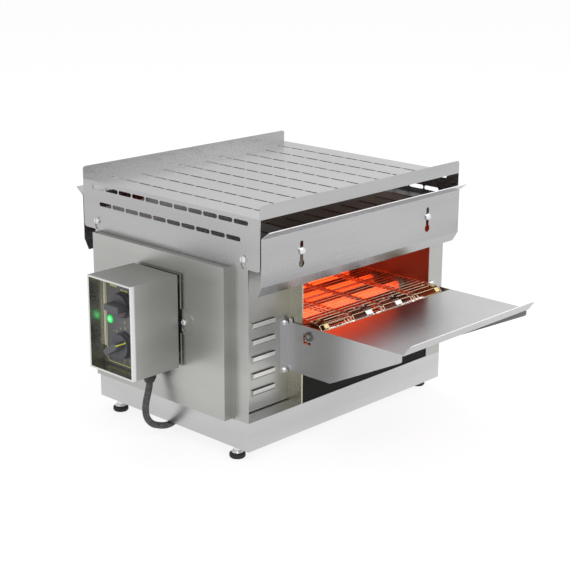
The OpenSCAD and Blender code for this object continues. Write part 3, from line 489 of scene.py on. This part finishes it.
def yellowed_steel(name, bright, yellowed):
    """Polished sprockets: bright in the middle of the belt and yellowed by heat at its edges."""
    material, g = graph_for(name)
    x, _, _ = g.axes()
    middle = (BELT[0][0] + BELT[1][0]) / 2
    rub = g.noise(200.0, detail=3.0)
    edge = abs(x - middle).above(0.10, 0.01)
    inner = g.mix(rub, shade(bright, 0.8), bright)
    outer = g.mix(rub, shade(yellowed, 0.6), shade(yellowed, 1.2))
    g.surface({
        "Base Color": g.mix(edge, inner, outer),
        "Metallic": 1.0,
        "Roughness": 0.24 + (rub - 0.5) * 0.16,
        "Normal": g.bump(rub, 0.00004),
    })
    return material


def wear(material, *nodes):
    """Gives CAD nodes this material."""
    for name in nodes:
        mesh = frame["nodes"][name].data
        mesh.materials.clear()
        mesh.materials.append(material)


def deselect():
    bpy.ops.object.select_all(action="DESELECT")


def choose(piece):
    deselect()
    piece.select_set(True)
    bpy.context.view_layer.objects.active = piece


def settle(piece):
    """Leaves the piece's place in its mesh and its object at the origin."""
    choose(piece)
    bpy.ops.object.transform_apply(location=True, rotation=True, scale=True)


def block(place, size, turn=0.0):
    """A block at this place, turned about X. It is the start of a piece."""
    deselect()
    bpy.ops.mesh.primitive_cube_add(size=1, location=place, rotation=(turn, 0, 0))
    piece = bpy.context.object
    piece.scale = size
    settle(piece)
    return piece


def select_top(piece):
    """Selects the faces that look up, in edit mode."""
    bpy.ops.mesh.select_mode(type="FACE")
    bpy.ops.mesh.select_all(action="DESELECT")
    bpy.ops.object.mode_set(mode="OBJECT")
    for face in piece.data.polygons:
        face.select = face.normal.z > 0.9
    bpy.ops.object.mode_set(mode="EDIT")


def bevel_piece(piece, width, segments=2, angle=40):
    choose(piece)
    bevel = piece.modifiers.new("bevel", "BEVEL")
    bevel.width = width
    bevel.segments = segments
    bevel.limit_method = "ANGLE"
    bevel.angle_limit = math.radians(angle)
    bpy.ops.object.modifier_apply(modifier=bevel.name)


def smooth(piece, angle=35):
    """Smooths the rounded edges and keeps the broad faces flat."""
    choose(piece)
    bpy.ops.object.shade_smooth_by_angle(angle=math.radians(angle))
    weighted = piece.modifiers.new("weighted", "WEIGHTED_NORMAL")
    weighted.keep_sharp = True
    bpy.ops.object.modifier_apply(modifier=weighted.name)


def finish_piece(piece, name, material, body, slot, *replaced):
    """Names a piece, gives it its material and says what it rides on and stands for."""
    settle(piece)
    piece.name = name
    piece.data.name = name
    piece.data.materials.clear()
    piece.data.materials.append(material)
    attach(piece, body)
    if replaced:
        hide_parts(*replaced)
    return piece


def rounded_sheet(name, material, width, slot):
    """A copy of a CAD sheet part with its triangles merged and its cut edges rounded a little."""
    node = frame["nodes"][name]
    piece = copy_piece(node, Matrix())
    for key in list(piece.keys()):
        del piece[key]
    choose(piece)
    bpy.ops.object.mode_set(mode="EDIT")
    bpy.ops.mesh.select_all(action="SELECT")
    bpy.ops.mesh.remove_doubles(threshold=0.00001)
    bpy.ops.mesh.dissolve_limited(angle_limit=math.radians(0.5))
    bpy.ops.object.mode_set(mode="OBJECT")
    bevel_piece(piece, width, 2, 35)
    smooth(piece, 30)
    return finish_piece(piece, name + "_sheet", material, node["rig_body"], slot, name)


def wire_line(points, corner):
    """A line through the points, drawn by pulling one corner along them, with rounded bends."""
    deselect()
    bpy.ops.mesh.primitive_plane_add(size=0.001, location=points[0])
    line = bpy.context.object
    bpy.ops.object.mode_set(mode="EDIT")
    bpy.ops.mesh.merge(type="CENTER")
    for here, there in zip(points, points[1:]):
        step = Vector(there) - Vector(here)
        bpy.ops.mesh.extrude_region_move(TRANSFORM_OT_translate={"value": step})
    bpy.ops.mesh.select_all(action="SELECT")
    bpy.ops.mesh.bevel(offset=corner, segments=3, affect="VERTICES")
    bpy.ops.object.mode_set(mode="OBJECT")
    return line


def round_wire(points, diameter, corner):
    """A round wire along the points."""
    line = wire_line(points, corner)
    settle(line)
    bpy.ops.object.convert(target="CURVE")
    line.data.bevel_depth = diameter / 2
    line.data.bevel_resolution = 1
    line.data.use_fill_caps = True
    bpy.ops.object.convert(target="MESH")
    bpy.ops.object.shade_smooth()
    return line


def copy_piece(piece, turn):
    """A copy with its own mesh, turned or moved by a matrix."""
    twin = piece.copy()
    twin.data = piece.data.copy()
    twin.parent = None
    bpy.context.collection.objects.link(twin)
    twin.matrix_world = turn
    return twin


def join(pieces):
    deselect()
    for piece in pieces:
        piece.select_set(True)
    bpy.context.view_layer.objects.active = pieces[0]
    bpy.ops.object.join()
    return bpy.context.object


class OVEN_OT_camera(bpy.types.Operator):
    """Place the camera"""

    bl_idname = "oven.camera"
    bl_label = "Camera"

    def execute(self, context):
        stage = context.scene.oven_stage
        side = math.radians(stage.azimuth)
        down = math.radians(stage.elevation)
        roll = math.radians(stage.roll)
        level = math.cos(down)
        forward = Vector((-math.sin(side) * level, math.cos(side) * level, -math.sin(down)))
        right = forward.cross(Vector((0, 0, 1))).normalized()
        up = right.cross(forward)
        across = right * math.cos(roll) + up * math.sin(roll)
        upward = up * math.cos(roll) - right * math.sin(roll)
        deselect()
        bpy.ops.object.camera_add()
        camera = context.object
        camera.name = "camera"
        camera.data.sensor_width = 36
        camera.data.lens = stage.lens
        turn = Matrix((across, upward, -forward)).transposed().to_4x4()
        camera.matrix_world = Matrix.Translation(stage.eye) @ turn
        context.scene.camera = camera
        return {"FINISHED"}


class OVEN_OT_control_cable(bpy.types.Operator):
    """Run the control cable from its gland in under the base"""

    bl_idname = "oven.control_cable"
    bl_label = "Control cable"

    # The cable's middle line in X and Z, which lies in one plane of Y. Its third point is where
    # the cable leaves the gland.
    PLANE = 0.009
    LINE = (
        (-0.272, 0.116), (-0.272, 0.107), (-0.272, 0.098), (-0.2735, 0.088), (-0.2765, 0.078),
        (-0.2795, 0.068), (-0.2815, 0.058), (-0.2815, 0.048), (-0.279, 0.0385), (-0.2735, 0.030),
        (-0.266, 0.0235), (-0.2565, 0.019), (-0.2465, 0.0156), (-0.236, 0.0139),
        (-0.2255, 0.0148), (-0.216, 0.0192), (-0.2085, 0.0265),
    )

    def execute(self, context):
        route = [(x, self.PLANE, z) for x, z in self.LINE]
        diameter = context.scene.oven_controls.cable_d
        deselect()
        bpy.ops.curve.primitive_nurbs_path_add()
        cable = context.object
        cable.data.splines.clear()
        spline = cable.data.splines.new("BEZIER")
        spline.bezier_points.add(len(route) - 1)
        for point, place in zip(spline.bezier_points, route):
            point.co = place
            point.handle_left_type = "AUTO"
            point.handle_right_type = "AUTO"
        cable.data.dimensions = "3D"
        cable.data.resolution_u = 6
        cable.data.bevel_depth = diameter / 2
        cable.data.bevel_resolution = 6
        cable.data.use_fill_caps = True
        sheath = soft_rubber("cable_sheath", context.scene.oven_finishes.sheath, 0.5)
        finish_piece(cable, "cable_run", sheath, HOUSING, "cable", "control_cable")
        return {"FINISHED"}


class OVEN_OT_sheet_metal(bpy.types.Operator):
    """Finish the base, walls, cover, hoods and trays"""

    bl_idname = "oven.sheet_metal"
    bl_label = "Sheet metal"

    LOUVER_OUT = 0.0045  # how far a louver stands out of its panel
    FLANGE = 0.016       # width of a tray's side flange
    TUNNEL_END = 0.1762  # how far the browned part of the tunnel reaches along Y
    SKIN = 0.0006        # depth under the box's outside at which its lining starts

    def execute(self, context):
        finish = context.scene.oven_finishes
        edge = finish.edge
        level = (10, 10, 420)
        across = (10, 420, 420)
        fine = (14, 300, 300)
        # Copies of one brushed steel, their tints partly painted shade and painted highlight per
        # part
        cool = brushed_steel("brushed_cool", finish.hood_steel, level)
        top = brushed_steel("brushed_top", finish.cool_steel, across, 0.28)
        tray = brushed_steel("brushed_tray", finish.tray_steel, across, 0.30, dress=self.gusset_highlights)
        base = brushed_steel("brushed_base", finish.base_steel, level, 0.30)
        warm = brushed_steel("brushed_warm", finish.warm_steel, level, 0.34)
        # Warm steel with a painted highlight on the louvers
        louvered = brushed_steel(
            "louvered_steel_highlit", finish.warm_steel, level, 0.34, dress=self.louver_highlights)
        stained = brushed_steel(
            "stained_steel", finish.stained_steel, level, 0.28, dress=self.browned)
        box = brushed_steel("box_steel", finish.box_steel, fine, 0.32, dress=self.box_inside)
        inner = brushed_steel(
            "inner_sheet", finish.dull_steel, level, 0.38, grime=0.5, dress=self.browned)
        for material, slot, names in (
            (cool, "brushed_cool", ("front_hood", "rear_hood")),
            (top, "brushed_cool", ("top_cover",)),
            (tray, "brushed_cool", ("exit_tray", "loading_tray")),
            (base, "brushed_cool", ("base_chassis",)),
            (warm, "brushed_warm", ("left_side_wall", "right_side_wall", "left_side_cover")),
            (louvered, "brushed_warm", ("front_louver_panel", "rear_louver_panel")),
            (stained, "brushed_warm", ("tunnel_left_wall",)),
            (box, "brushed_warm", ("control_box", "control_bracket")),
        ):
            for name in names:
                rounded_sheet(name, material, edge, slot)
        wear(inner, "tunnel_right_wall", "cross_rails", "bottom_plate", "motor_bracket",
             "upper_reflector", "lower_reflector", "heat_deck")
        # the crumb tray's black is partly its enamel and partly painted shade of the space below
        # the belt
        wear(enamel("black_enamel", finish.enamel), "crumb_tray")
        return {"FINISHED"}

    # Each of the next four changes a brushed steel's colour and roughness by place; the last three
    # paint highlights

    def browned(self, g, tone, rough):
        """Dark heat colours inside the tunnel, from one wall's sheet to the other's."""
        finish = bpy.context.scene.oven_finishes
        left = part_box("tunnel_left_wall")[1][0] - 0.0009
        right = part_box("tunnel_right_wall")[1][0] - 0.0002
        x, y, _ = g.axes()
        inside = x.within(left, right) * y.within(-self.TUNNEL_END, self.TUNNEL_END)
        return g.mix(inside, tone, finish.browned_steel), rough + inside * 0.10

    def gusset_highlights(self, g, tone, rough):
        """Paler on the trays' outer side sheets: a painted highlight standing in for the brighter
        reflections they show.
        """
        finish = bpy.context.scene.oven_finishes
        low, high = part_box("exit_tray")
        x, _, _ = g.axes()
        left = 1.0 - x.above(low[0] + self.FLANGE + 0.0004, 0.0003)
        outer = left.most(x.above(high[0] - self.FLANGE - 0.0004, 0.0003))
        return g.mix(outer, tone, finish.gusset_highlight), rough + outer * 0.06

    def louver_highlights(self, g, tone, rough):
        """Brighter where a louver stands out of its panel: a painted highlight in place of the
        bright reflection on its face.
        """
        finish = bpy.context.scene.oven_finishes
        plane = abs(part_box("front_louver_panel")[0][1]) - self.LOUVER_OUT
        _, y, _ = g.axes()
        out = abs(y).above(plane + 0.0008, 0.0006)
        return g.mix(out, tone, finish.louver_highlight), rough

    def box_inside(self, g, tone, rough):
        """Polished inside the box, with painted highlights along its rim and down its front edge.
        """
        finish = bpy.context.scene.oven_finishes
        low, high = BOX
        x, y, z = g.axes()
        inside = y.within(low[1] + self.SKIN, high[1] - self.SKIN, 0.0002)
        inside = inside * z.within(low[2] + self.SKIN, high[2] - self.SKIN, 0.0002)
        inside = inside * x.within(low[0] + 0.0030, FASCIA[1][0] + 0.004)
        # painted highlight along the front rim
        rim = x.within(low[0] - 0.001, low[0] + 0.0016, 0.0002)
        front = 1.0 - y.above(low[1] + self.SKIN, 0.0002)
        # painted highlight down the front bend
        edge = x.within(low[0] - 0.001, low[0] + 0.0070, 0.003) * front
        tone = g.mix(inside, tone, finish.lining_steel)
        tone = g.mix(rim, tone, finish.rim_highlight)
        return g.mix(edge, tone, finish.bend_highlight), rough - inside * 0.04


class OVEN_OT_fittings(bpy.types.Operator):
    """Finish the screws, feet, bearings and the drive"""

    bl_idname = "oven.fittings"
    bl_label = "Fittings"

    def execute(self, context):
        finish = context.scene.oven_finishes
        bright = polished_steel("polished", finish.polished)
        oiled = painted("oiled_steel", finish.oiled, 0.4)
        studs = [f"foot_stud_{foot}" for foot in FEET]
        pads = [f"foot_pad_{foot}" for foot in FEET]
        wear(bright, "cover_screws", "hood_screws", "hood_standoffs", "tray_screws",
             "control_screws", "front_shaft", "rear_shaft", *studs)
        wear(yellowed_steel("sprocket_steel", finish.sprocket, finish.brass),
             "front_sprockets", "rear_sprockets")
        wear(oiled, "side_cover_screws", "drive_chain", "motor_sprocket")
        wear(polished_steel("bearing_steel", finish.dull_steel, 0.3), "shaft_bearings")
        wear(painted("motor_paint", finish.motor), "gear_motor")
        wear(moulded("cream_moulding", finish.cream), "terminal_block")
        wear(moulded("black_moulding", finish.black),
             "cable_gland", "selector_switch", "speed_regulator")
        wear(soft_rubber("foot_rubber", finish.rubber), *pads, "base_grommet")
        return {"FINISHED"}


class OVEN_OT_heating(bpy.types.Operator):
    """Light the quartz tubes and finish their holders"""

    bl_idname = "oven.heating"
    bl_label = "Heating"

    def execute(self, context):
        heat = context.scene.oven_heat
        low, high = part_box("lower_tubes")
        middle = (low[0] + high[0]) / 2
        reach = (high[0] - low[0]) / 2
        wear(lit_quartz("lit_quartz", heat.glow, heat.strength, middle, reach),
             "lower_tubes", "upper_tubes")
        wear(lit_quartz("lit_coil", heat.glow, heat.strength, middle, reach), "heating_coils")
        wear(ceramic("holder_ceramic"), "tube_holders")
        return {"FINISHED"}


class OVEN_OT_wire_belt(bpy.types.Operator):
    """Weave the wire belt round its two sets of sprockets"""

    bl_idname = "oven.wire_belt"
    bl_label = "Wire belt"

    def execute(self, context):
        belt = context.scene.oven_belt
        wire = heated_wire("heated_wire", context.scene.oven_finishes.wire_tint)
        wear(wire, "belt_guides")
        low, high = BELT
        middle = (low[0] + high[0]) / 2
        half = (high[0] - low[0]) / 2
        rear = Vector(JOINTS["rear_shaft_spin"]["pos_m"])
        places = self.loop(belt)
        first = self.cross_wire(belt, half)
        copies = []
        for here, there in zip(places, places[1:] + places[:1]):
            step = there - here
            lean = math.atan2(step.y, step.x)
            place = Matrix.Translation((middle, rear.y + here.x, rear.z + here.y))
            copies.append(copy_piece(first, place @ Matrix.Rotation(lean, 4, "X")))
        bpy.data.objects.remove(first)
        woven = join(copies)
        finish_piece(woven, "belt_weave", wire, HOUSING, "heated_steel", "wire_belt")
        return {"FINISHED"}

    def loop(self, belt):
        """Where each wire sits, in Y and Z from the rear shaft."""
        radius = belt.pitch / 2 / math.sin(math.pi / belt.teeth)
        run = belt.span * belt.pitch
        top = [Vector((-k * belt.pitch, radius)) for k in range(belt.span)]
        front = self.arc(belt, radius, -run, math.pi / 2)
        bottom = [Vector((k * belt.pitch - run, -radius)) for k in range(belt.span)]
        back = self.arc(belt, radius, 0.0, -math.pi / 2)
        return top + front + bottom + back

    def arc(self, belt, radius, centre, start):
        """Half a turn of the belt round a shaft."""
        step = 2 * math.pi / belt.teeth
        angles = [start + k * step for k in range(belt.teeth // 2)]
        return [Vector((centre + radius * math.cos(a), radius * math.sin(a))) for a in angles]

    def cross_wire(self, belt, half):
        """One wire across the belt, with bends that hook over the next wire."""
        hook = belt.hook / 2
        reach = belt.pitch + belt.wire
        lift = belt.wire * 0.9
        edge = half - belt.wire / 2
        points = [(-edge, reach * 0.9, lift * 0.5), (-edge, 0, 0)]
        for centre in (-half / 2, 0.0, half / 2):
            points += [(centre - hook, 0, 0), (centre - hook, reach, lift),
                       (centre + hook, reach, lift), (centre + hook, 0, 0)]
        points += [(edge, 0, 0), (edge, reach * 0.9, lift * 0.5)]
        return round_wire(points, belt.wire, corner=belt.wire * 0.7)


class OVEN_OT_controls(bpy.types.Operator):
    """Make the knobs and the printed fascia and light the pilot lamp"""

    bl_idname = "oven.controls"
    bl_label = "Controls"

    # A knob's sizes in metres, from the fascia outwards
    GAP = 0.0002       # under the skirt
    SKIRT = 0.0045     # height of the skirt
    HUB = 0.007        # height of the hub on the skirt
    FACE = GAP + SKIRT + HUB
    HUB_TAPER = 0.936  # top of the hub as a share of its foot
    HUB_REACH = 0.88   # top of the hub as a share of the skirt
    TIP = 0.0135       # from the axis to the pointing end of the grip bar
    TAIL_IN = 0.0015   # from the bar's other end to the skirt's edge
    LINE = 0.0020      # width of the pointer line
    FILM = 0.0003      # thickness of the pointer line
    SPEED_TURN = math.radians(148)  # how far the speed knob is turned about X at rest

    # The printed marks, in metres and degrees
    INK = 0.0001             # thickness of the ink
    RING = 0.0262            # from the speed knob's axis to its ticks
    TICK = (0.0036, 0.0012)  # length and width
    TICKS = (42, 25.6, 11)   # angle of the first tick, step and count
    LEGEND_H = 0.0026        # height of a legend's bars
    LEGENDS = ((0.0295, 0.2634, 0.0155), (0.0044, 0.2598, 0.0150))  # Y, Z and length
    FIGURES = (  # the figure, its Y and Z, and its size
        ("0", 0.0046, 0.2075, 0.0055), ("1", 0.0305, 0.1885, 0.0045),
        ("5", 0.0046, 0.1995, 0.0045), ("9", -0.0245, 0.1870, 0.0045),
        ("2", 0.0085, 0.1415, 0.0045), ("8", -0.0075, 0.1415, 0.0045),
    )
    STOP = (-0.0071, 0.2275)          # Y and Z of the red mark
    STOP_TURN = math.radians(41)
    STOP_SIZE = (0.0048, 0.0034)      # length and width
    MARGIN = (0.0008, 0.0048, 0.118)  # thickness, width and length of the pale strip

    def execute(self, context):
        finish = context.scene.oven_finishes
        size = context.scene.oven_controls
        wear(painted("fascia_paint", finish.fascia, 0.38), "control_fascia")
        wear(lit_lens("lamp_lens", finish.lamp), "pilot_lamp")
        plastic = moulded("knob_moulding", finish.knob, 0.42)
        ink = printed("fascia_ink", finish.mark)
        pointer = printed("pointer_ink", finish.pointer)
        for name, turn in (("selector", 0.0), ("speed", self.SPEED_TURN)):
            self.knob(size, name, turn, plastic, pointer)
        self.border(ink)
        # the pale strip's paint is a painted reflection
        self.margin(painted("margin_painted_sheen", finish.margin, 0.3))
        self.marks(ink)
        self.stop_mark(printed("red_ink", finish.stop))
        return {"FINISHED"}

    def knob(self, size, name, turn, plastic, line):
        """A skirted knob with a tall grip bar, which points to +Y until it is turned about X."""
        centre = Vector(JOINTS[name + "_turn"]["pos_m"])
        place = Matrix.Translation(centre) @ Matrix.Rotation(turn, 4, "X") @ self.upright()
        radius = size.knob_d / 2
        whole = join([self.hub(radius), self.grip(size, radius)])
        whole.matrix_world = place
        smooth(whole)
        finish_piece(whole, name + "_grip", plastic, name + "_knob", "knob", name + "_knob")
        rim = radius * self.HUB_REACH
        end = self.strip((self.TIP + 0.00005, 0, (size.knob_h + self.FACE) / 2),
                         (self.FILM, self.LINE, size.knob_h - self.FACE - 0.001))
        foot = self.strip(((self.TIP + rim) / 2, 0, self.FACE + 0.00005),
                          (rim - self.TIP, self.LINE, self.FILM))
        stripe = join([end, foot])
        stripe.matrix_world = place
        finish_piece(stripe, name + "_pointer", line, name + "_knob", "knob")

    def hub(self, radius):
        """A knob's skirt and the hub that stands on it."""
        middle = (0, 0, self.GAP + self.SKIRT / 2)
        deselect()
        bpy.ops.mesh.primitive_cylinder_add(
            vertices=64, radius=radius, depth=self.SKIRT, location=middle)
        hub = bpy.context.object
        bpy.ops.object.mode_set(mode="EDIT")
        select_top(hub)
        bpy.ops.mesh.inset(thickness=radius * 0.06)
        bpy.ops.mesh.extrude_region_move(TRANSFORM_OT_translate={"value": (0, 0, self.HUB)})
        bpy.ops.transform.resize(
            value=(self.HUB_TAPER, self.HUB_TAPER, 1.0), center_override=(0, 0, 0))
        bpy.ops.object.mode_set(mode="OBJECT")
        settle(hub)
        bevel_piece(hub, 0.0007, 3)
        return hub

    def grip(self, size, radius):
        """A knob's bar, a little narrower at its top."""
        tail = radius - self.TAIL_IN
        middle = (self.TIP - tail) / 2
        grip = block((middle, 0, (size.knob_h + self.SKIRT) / 2),
                     (self.TIP + tail, size.bar_w, size.knob_h - self.SKIRT))
        bpy.ops.object.mode_set(mode="EDIT")
        select_top(grip)
        bpy.ops.transform.resize(
            value=(0.985, 0.94, 1.0), center_override=(middle, 0, size.knob_h))
        bpy.ops.object.mode_set(mode="OBJECT")
        bevel_piece(grip, 0.0010, 3, 20)
        return grip

    def strip(self, place, size):
        """One length of a knob's pointer line."""
        strip = block(place, size)
        bevel_piece(strip, 0.0001, 2)
        return strip

    def upright(self):
        """Stands a knob made along +Z, with its bar on +X, on the fascia, with its bar on +Y."""
        return Matrix(((0, 0, -1, 0), (1, 0, 0, 0), (0, -1, 0, 0), (0, 0, 0, 1)))

    def border(self, ink):
        """The thin printed line round the fascia, with rounded corners."""
        low, high = FASCIA
        middle = (low[0] - 0.00008, (low[1] + high[1] - 0.003) / 2, (low[2] + high[2]) / 2)
        deselect()
        bpy.ops.mesh.primitive_plane_add(size=1, location=middle, rotation=(0, -math.pi / 2, 0))
        line = bpy.context.object
        line.scale = (high[2] - low[2] - 0.008, high[1] - low[1] - 0.009, 1)
        settle(line)
        bpy.ops.object.mode_set(mode="EDIT")
        bpy.ops.mesh.select_all(action="SELECT")
        bpy.ops.mesh.bevel(offset=0.006, segments=6, affect="VERTICES")
        bpy.ops.mesh.select_all(action="SELECT")
        bpy.ops.mesh.inset(thickness=0.0016)
        bpy.ops.mesh.delete(type="FACE")
        bpy.ops.object.mode_set(mode="OBJECT")
        solid = line.modifiers.new("solid", "SOLIDIFY")
        solid.thickness = self.INK
        solid.offset = 0
        bpy.ops.object.modifier_apply(modifier=solid.name)
        finish_piece(line, "fascia_border", ink, HOUSING, "fascia")

    def margin(self, paint):
        """The strip along the fascia's rear edge, round at its lower end, in a pale paint that is a
        painted reflection.
        """
        thick, wide, long = self.MARGIN
        low, high = FASCIA
        place = (low[0] - thick / 2, high[1] - wide / 2 - 0.0002, high[2] - long / 2 - 0.001)
        strip = block(place, self.MARGIN)
        bpy.ops.object.mode_set(mode="EDIT")
        bpy.ops.mesh.select_mode(type="EDGE")
        bpy.ops.mesh.select_all(action="DESELECT")
        bpy.ops.object.mode_set(mode="OBJECT")
        for edge in strip.data.edges:
            ends = [strip.data.vertices[k].co for k in edge.vertices]
            edge.select = abs(ends[0].x - ends[1].x) > thick / 2 and ends[0].z < place[2]
        bpy.ops.object.mode_set(mode="EDIT")
        bpy.ops.mesh.bevel(offset=0.0022, segments=5)
        bpy.ops.object.mode_set(mode="OBJECT")
        bevel_piece(strip, 0.0003, 2)
        finish_piece(strip, "fascia_margin", paint, HOUSING, "fascia")

    def marks(self, ink):
        """Ticks and figures round the speed knob, and the short bars of two legends."""
        face = FASCIA[0][0]
        _, knob_y, knob_z = JOINTS["speed_turn"]["pos_m"]
        first, step, count = self.TICKS
        pieces = []
        for k in range(count):
            angle = math.radians(first + step * k)
            out = Vector((0, math.cos(angle), math.sin(angle)))
            place = Vector((face, knob_y, knob_z)) + out * self.RING
            pieces.append(self.bar(place, angle, self.TICK))
        for y, z, long in self.LEGENDS:
            for k in (-1, 0, 1):
                place = Vector((face, y + k * long / 2.6, z))
                pieces.append(self.bar(place, 0.0, (long / 3.2, self.LEGEND_H)))
        for text, y, z, size in self.FIGURES:
            pieces.append(self.figure(text, (face - self.INK, y, z), size))
        finish_piece(join(pieces), "fascia_marks", ink, HOUSING, "fascia")

    def stop_mark(self, ink):
        """The red mark on the selector knob's hub."""
        place = Vector((FASCIA[0][0] - self.FACE, *self.STOP))
        stop = self.bar(place, self.STOP_TURN, self.STOP_SIZE)
        finish_piece(stop, "stop_mark", ink, "selector_knob", "knob")

    def bar(self, place, angle, size):
        """One printed bar, long along the angle from +Y."""
        bar = block(place - Vector((0.00006, 0, 0)), (self.INK, *size), angle)
        bevel_piece(bar, 0.00003, 1)
        return bar

    def figure(self, text, place, size):
        """One printed number."""
        deselect()
        bpy.ops.object.text_add(location=place, rotation=(math.pi / 2, 0, -math.pi / 2))
        figure = bpy.context.object
        figure.data.body = text
        figure.data.size = size
        figure.data.align_x = "CENTER"
        figure.data.extrude = self.INK / 2
        bpy.ops.object.convert(target="MESH")
        settle(figure)
        return figure


class OVEN_OT_stage(bpy.types.Operator):
    """Lay the floor and set the lights"""

    bl_idname = "oven.stage"
    bl_label = "Stage"

    FLOOR = 40                 # radius of the floor in metres
    PAPER = 0.75               # share of plain white in the floor; the rest takes shadows
    SIDE = (0.69, -0.72, 0.0)  # the way to the brighter side of the room
    CONTRAST = 0.40            # how much brighter that side is
    AIM = (0, 0, 0.2)          # what the lamps point at
    LAMPS = (  # name, place, share of the key light's power and width
        ("key_light", (-1.2, -2.6, 2.6), 1.0, 2.4),
        ("fill_light", (2.6, -1.6, 2.2), 0.5, 2.0),
        ("top_light", (0.2, 1.2, 3.2), 0.6, 2.4),
    )

    def execute(self, context):
        stage = context.scene.oven_stage
        self.floor(stage.paper)
        self.world(context, stage.sky)
        for name, place, share, size in self.LAMPS:
            self.soft_light(name, place, stage.key * share, size)
        context.scene.view_settings.view_transform = "Standard"
        return {"FINISHED"}

    def floor(self, paper):
        """A floor of white paper, shown white and with the oven's soft shadow on it."""
        deselect()
        bpy.ops.mesh.primitive_circle_add(vertices=96, radius=self.FLOOR, fill_type="NGON")
        floor = bpy.context.object
        floor.name = "floor"
        material, g = graph_for("floor_paper")
        speck = g.noise(300.0, detail=2.0)
        plain = g.add("ShaderNodeBsdfPrincipled", sockets={
            "Base Color": g.mix(speck, (0.80, 0.80, 0.80), (0.82, 0.82, 0.82)),
            "Roughness": 0.9,
            "Specular IOR Level": 0.1,
        }, output="BSDF")
        white = g.add("ShaderNodeEmission", sockets={"Color": (1, 1, 1), "Strength": paper})
        share = self.seen(g) * self.PAPER
        both = g.add("ShaderNodeMixShader", sockets={0: share, 1: plain, 2: white})
        g.add("ShaderNodeOutputMaterial", sockets={"Surface": both})
        floor.data.materials.append(material)

    def seen(self, g):
        """1 for the camera and for what metal and glass show of the room, and 0 for its light."""
        path = g.add("ShaderNodeLightPath").socket.node.outputs
        seen = Value(g, path["Is Camera Ray"]).most(Value(g, path["Is Glossy Ray"]))
        return seen.most(Value(g, path["Is Transmission Ray"]))

    def world(self, context, strength):
        """Even light for the surfaces, and a white room, brighter to the right, for reflections."""
        world = bpy.data.worlds.new("studio")
        context.scene.world = world
        g = Graph(world)
        there = g.add("ShaderNodeTexCoord", output="Generated")
        right = g.add("ShaderNodeVectorMath", {"operation": "DOT_PRODUCT"},
                      {0: there, 1: self.SIDE}, output="Value")
        path = g.add("ShaderNodeLightPath").socket.node.outputs
        swing = right.above(0.0, 0.7) * self.CONTRAST - self.CONTRAST / 2
        room = 1.0 + Value(g, path["Is Glossy Ray"]) * swing
        lit = g.add("ShaderNodeBackground", sockets={"Color": (1, 1, 1), "Strength": strength})
        shown = g.add("ShaderNodeBackground", sockets={"Color": (1, 1, 1), "Strength": room})
        both = g.add("ShaderNodeMixShader", sockets={0: self.seen(g), 1: lit, 2: shown})
        g.add("ShaderNodeOutputWorld", sockets={"Surface": both})

    def soft_light(self, name, place, power, size):
        deselect()
        bpy.ops.object.light_add(type="AREA", location=place)
        lamp = bpy.context.object
        lamp.name = name
        lamp.data.shape = "DISK"
        lamp.data.size = size
        lamp.data.energy = power
        aim = Vector(self.AIM) - Vector(place)
        lamp.rotation_euler = aim.to_track_quat("-Z", "Y").to_euler()


OPERATORS = (
    OVEN_OT_camera, OVEN_OT_control_cable, OVEN_OT_sheet_metal, OVEN_OT_fittings, OVEN_OT_heating,
    OVEN_OT_wire_belt, OVEN_OT_controls, OVEN_OT_stage,
)
GROUPS = {
    "oven_finishes": OvenFinishes, "oven_heat": OvenHeat, "oven_belt": OvenBelt,
    "oven_controls": OvenControls, "oven_stage": OvenStage,
}


class OVEN_PT_panel(bpy.types.Panel):
    """List the oven's pieces and settings"""

    bl_label = "Conveyor oven"
    bl_idname = "OVEN_PT_panel"
    bl_space_type = "VIEW_3D"
    bl_region_type = "UI"
    bl_category = "Oven"

    def draw(self, context):
        for operator in OPERATORS:
            self.layout.operator(operator.bl_idname)
        for name in GROUPS:
            group = getattr(context.scene, name)
            box = self.layout.box()
            for setting in group.bl_rna.properties:
                if setting.identifier not in {"rna_type", "name"}:
                    box.prop(group, setting.identifier)


def register():
    for group in (*GROUPS.values(), *OPERATORS, OVEN_PT_panel):
        bpy.utils.register_class(group)
    for name, group in GROUPS.items():
        setattr(bpy.types.Scene, name, PointerProperty(type=group))


def unregister():
    for name in GROUPS:
        delattr(bpy.types.Scene, name)
    for group in reversed((*GROUPS.values(), *OPERATORS, OVEN_PT_panel)):
        bpy.utils.unregister_class(group)


def main():
    """Makes the pieces in order, the camera and the cable first."""
    register()
    bpy.ops.oven.camera()
    bpy.ops.oven.control_cable()
    bpy.ops.oven.sheet_metal()
    bpy.ops.oven.fittings()
    bpy.ops.oven.heating()
    bpy.ops.oven.wire_belt()
    bpy.ops.oven.controls()
    bpy.ops.oven.stage()


if __name__ == "__main__":
    main()
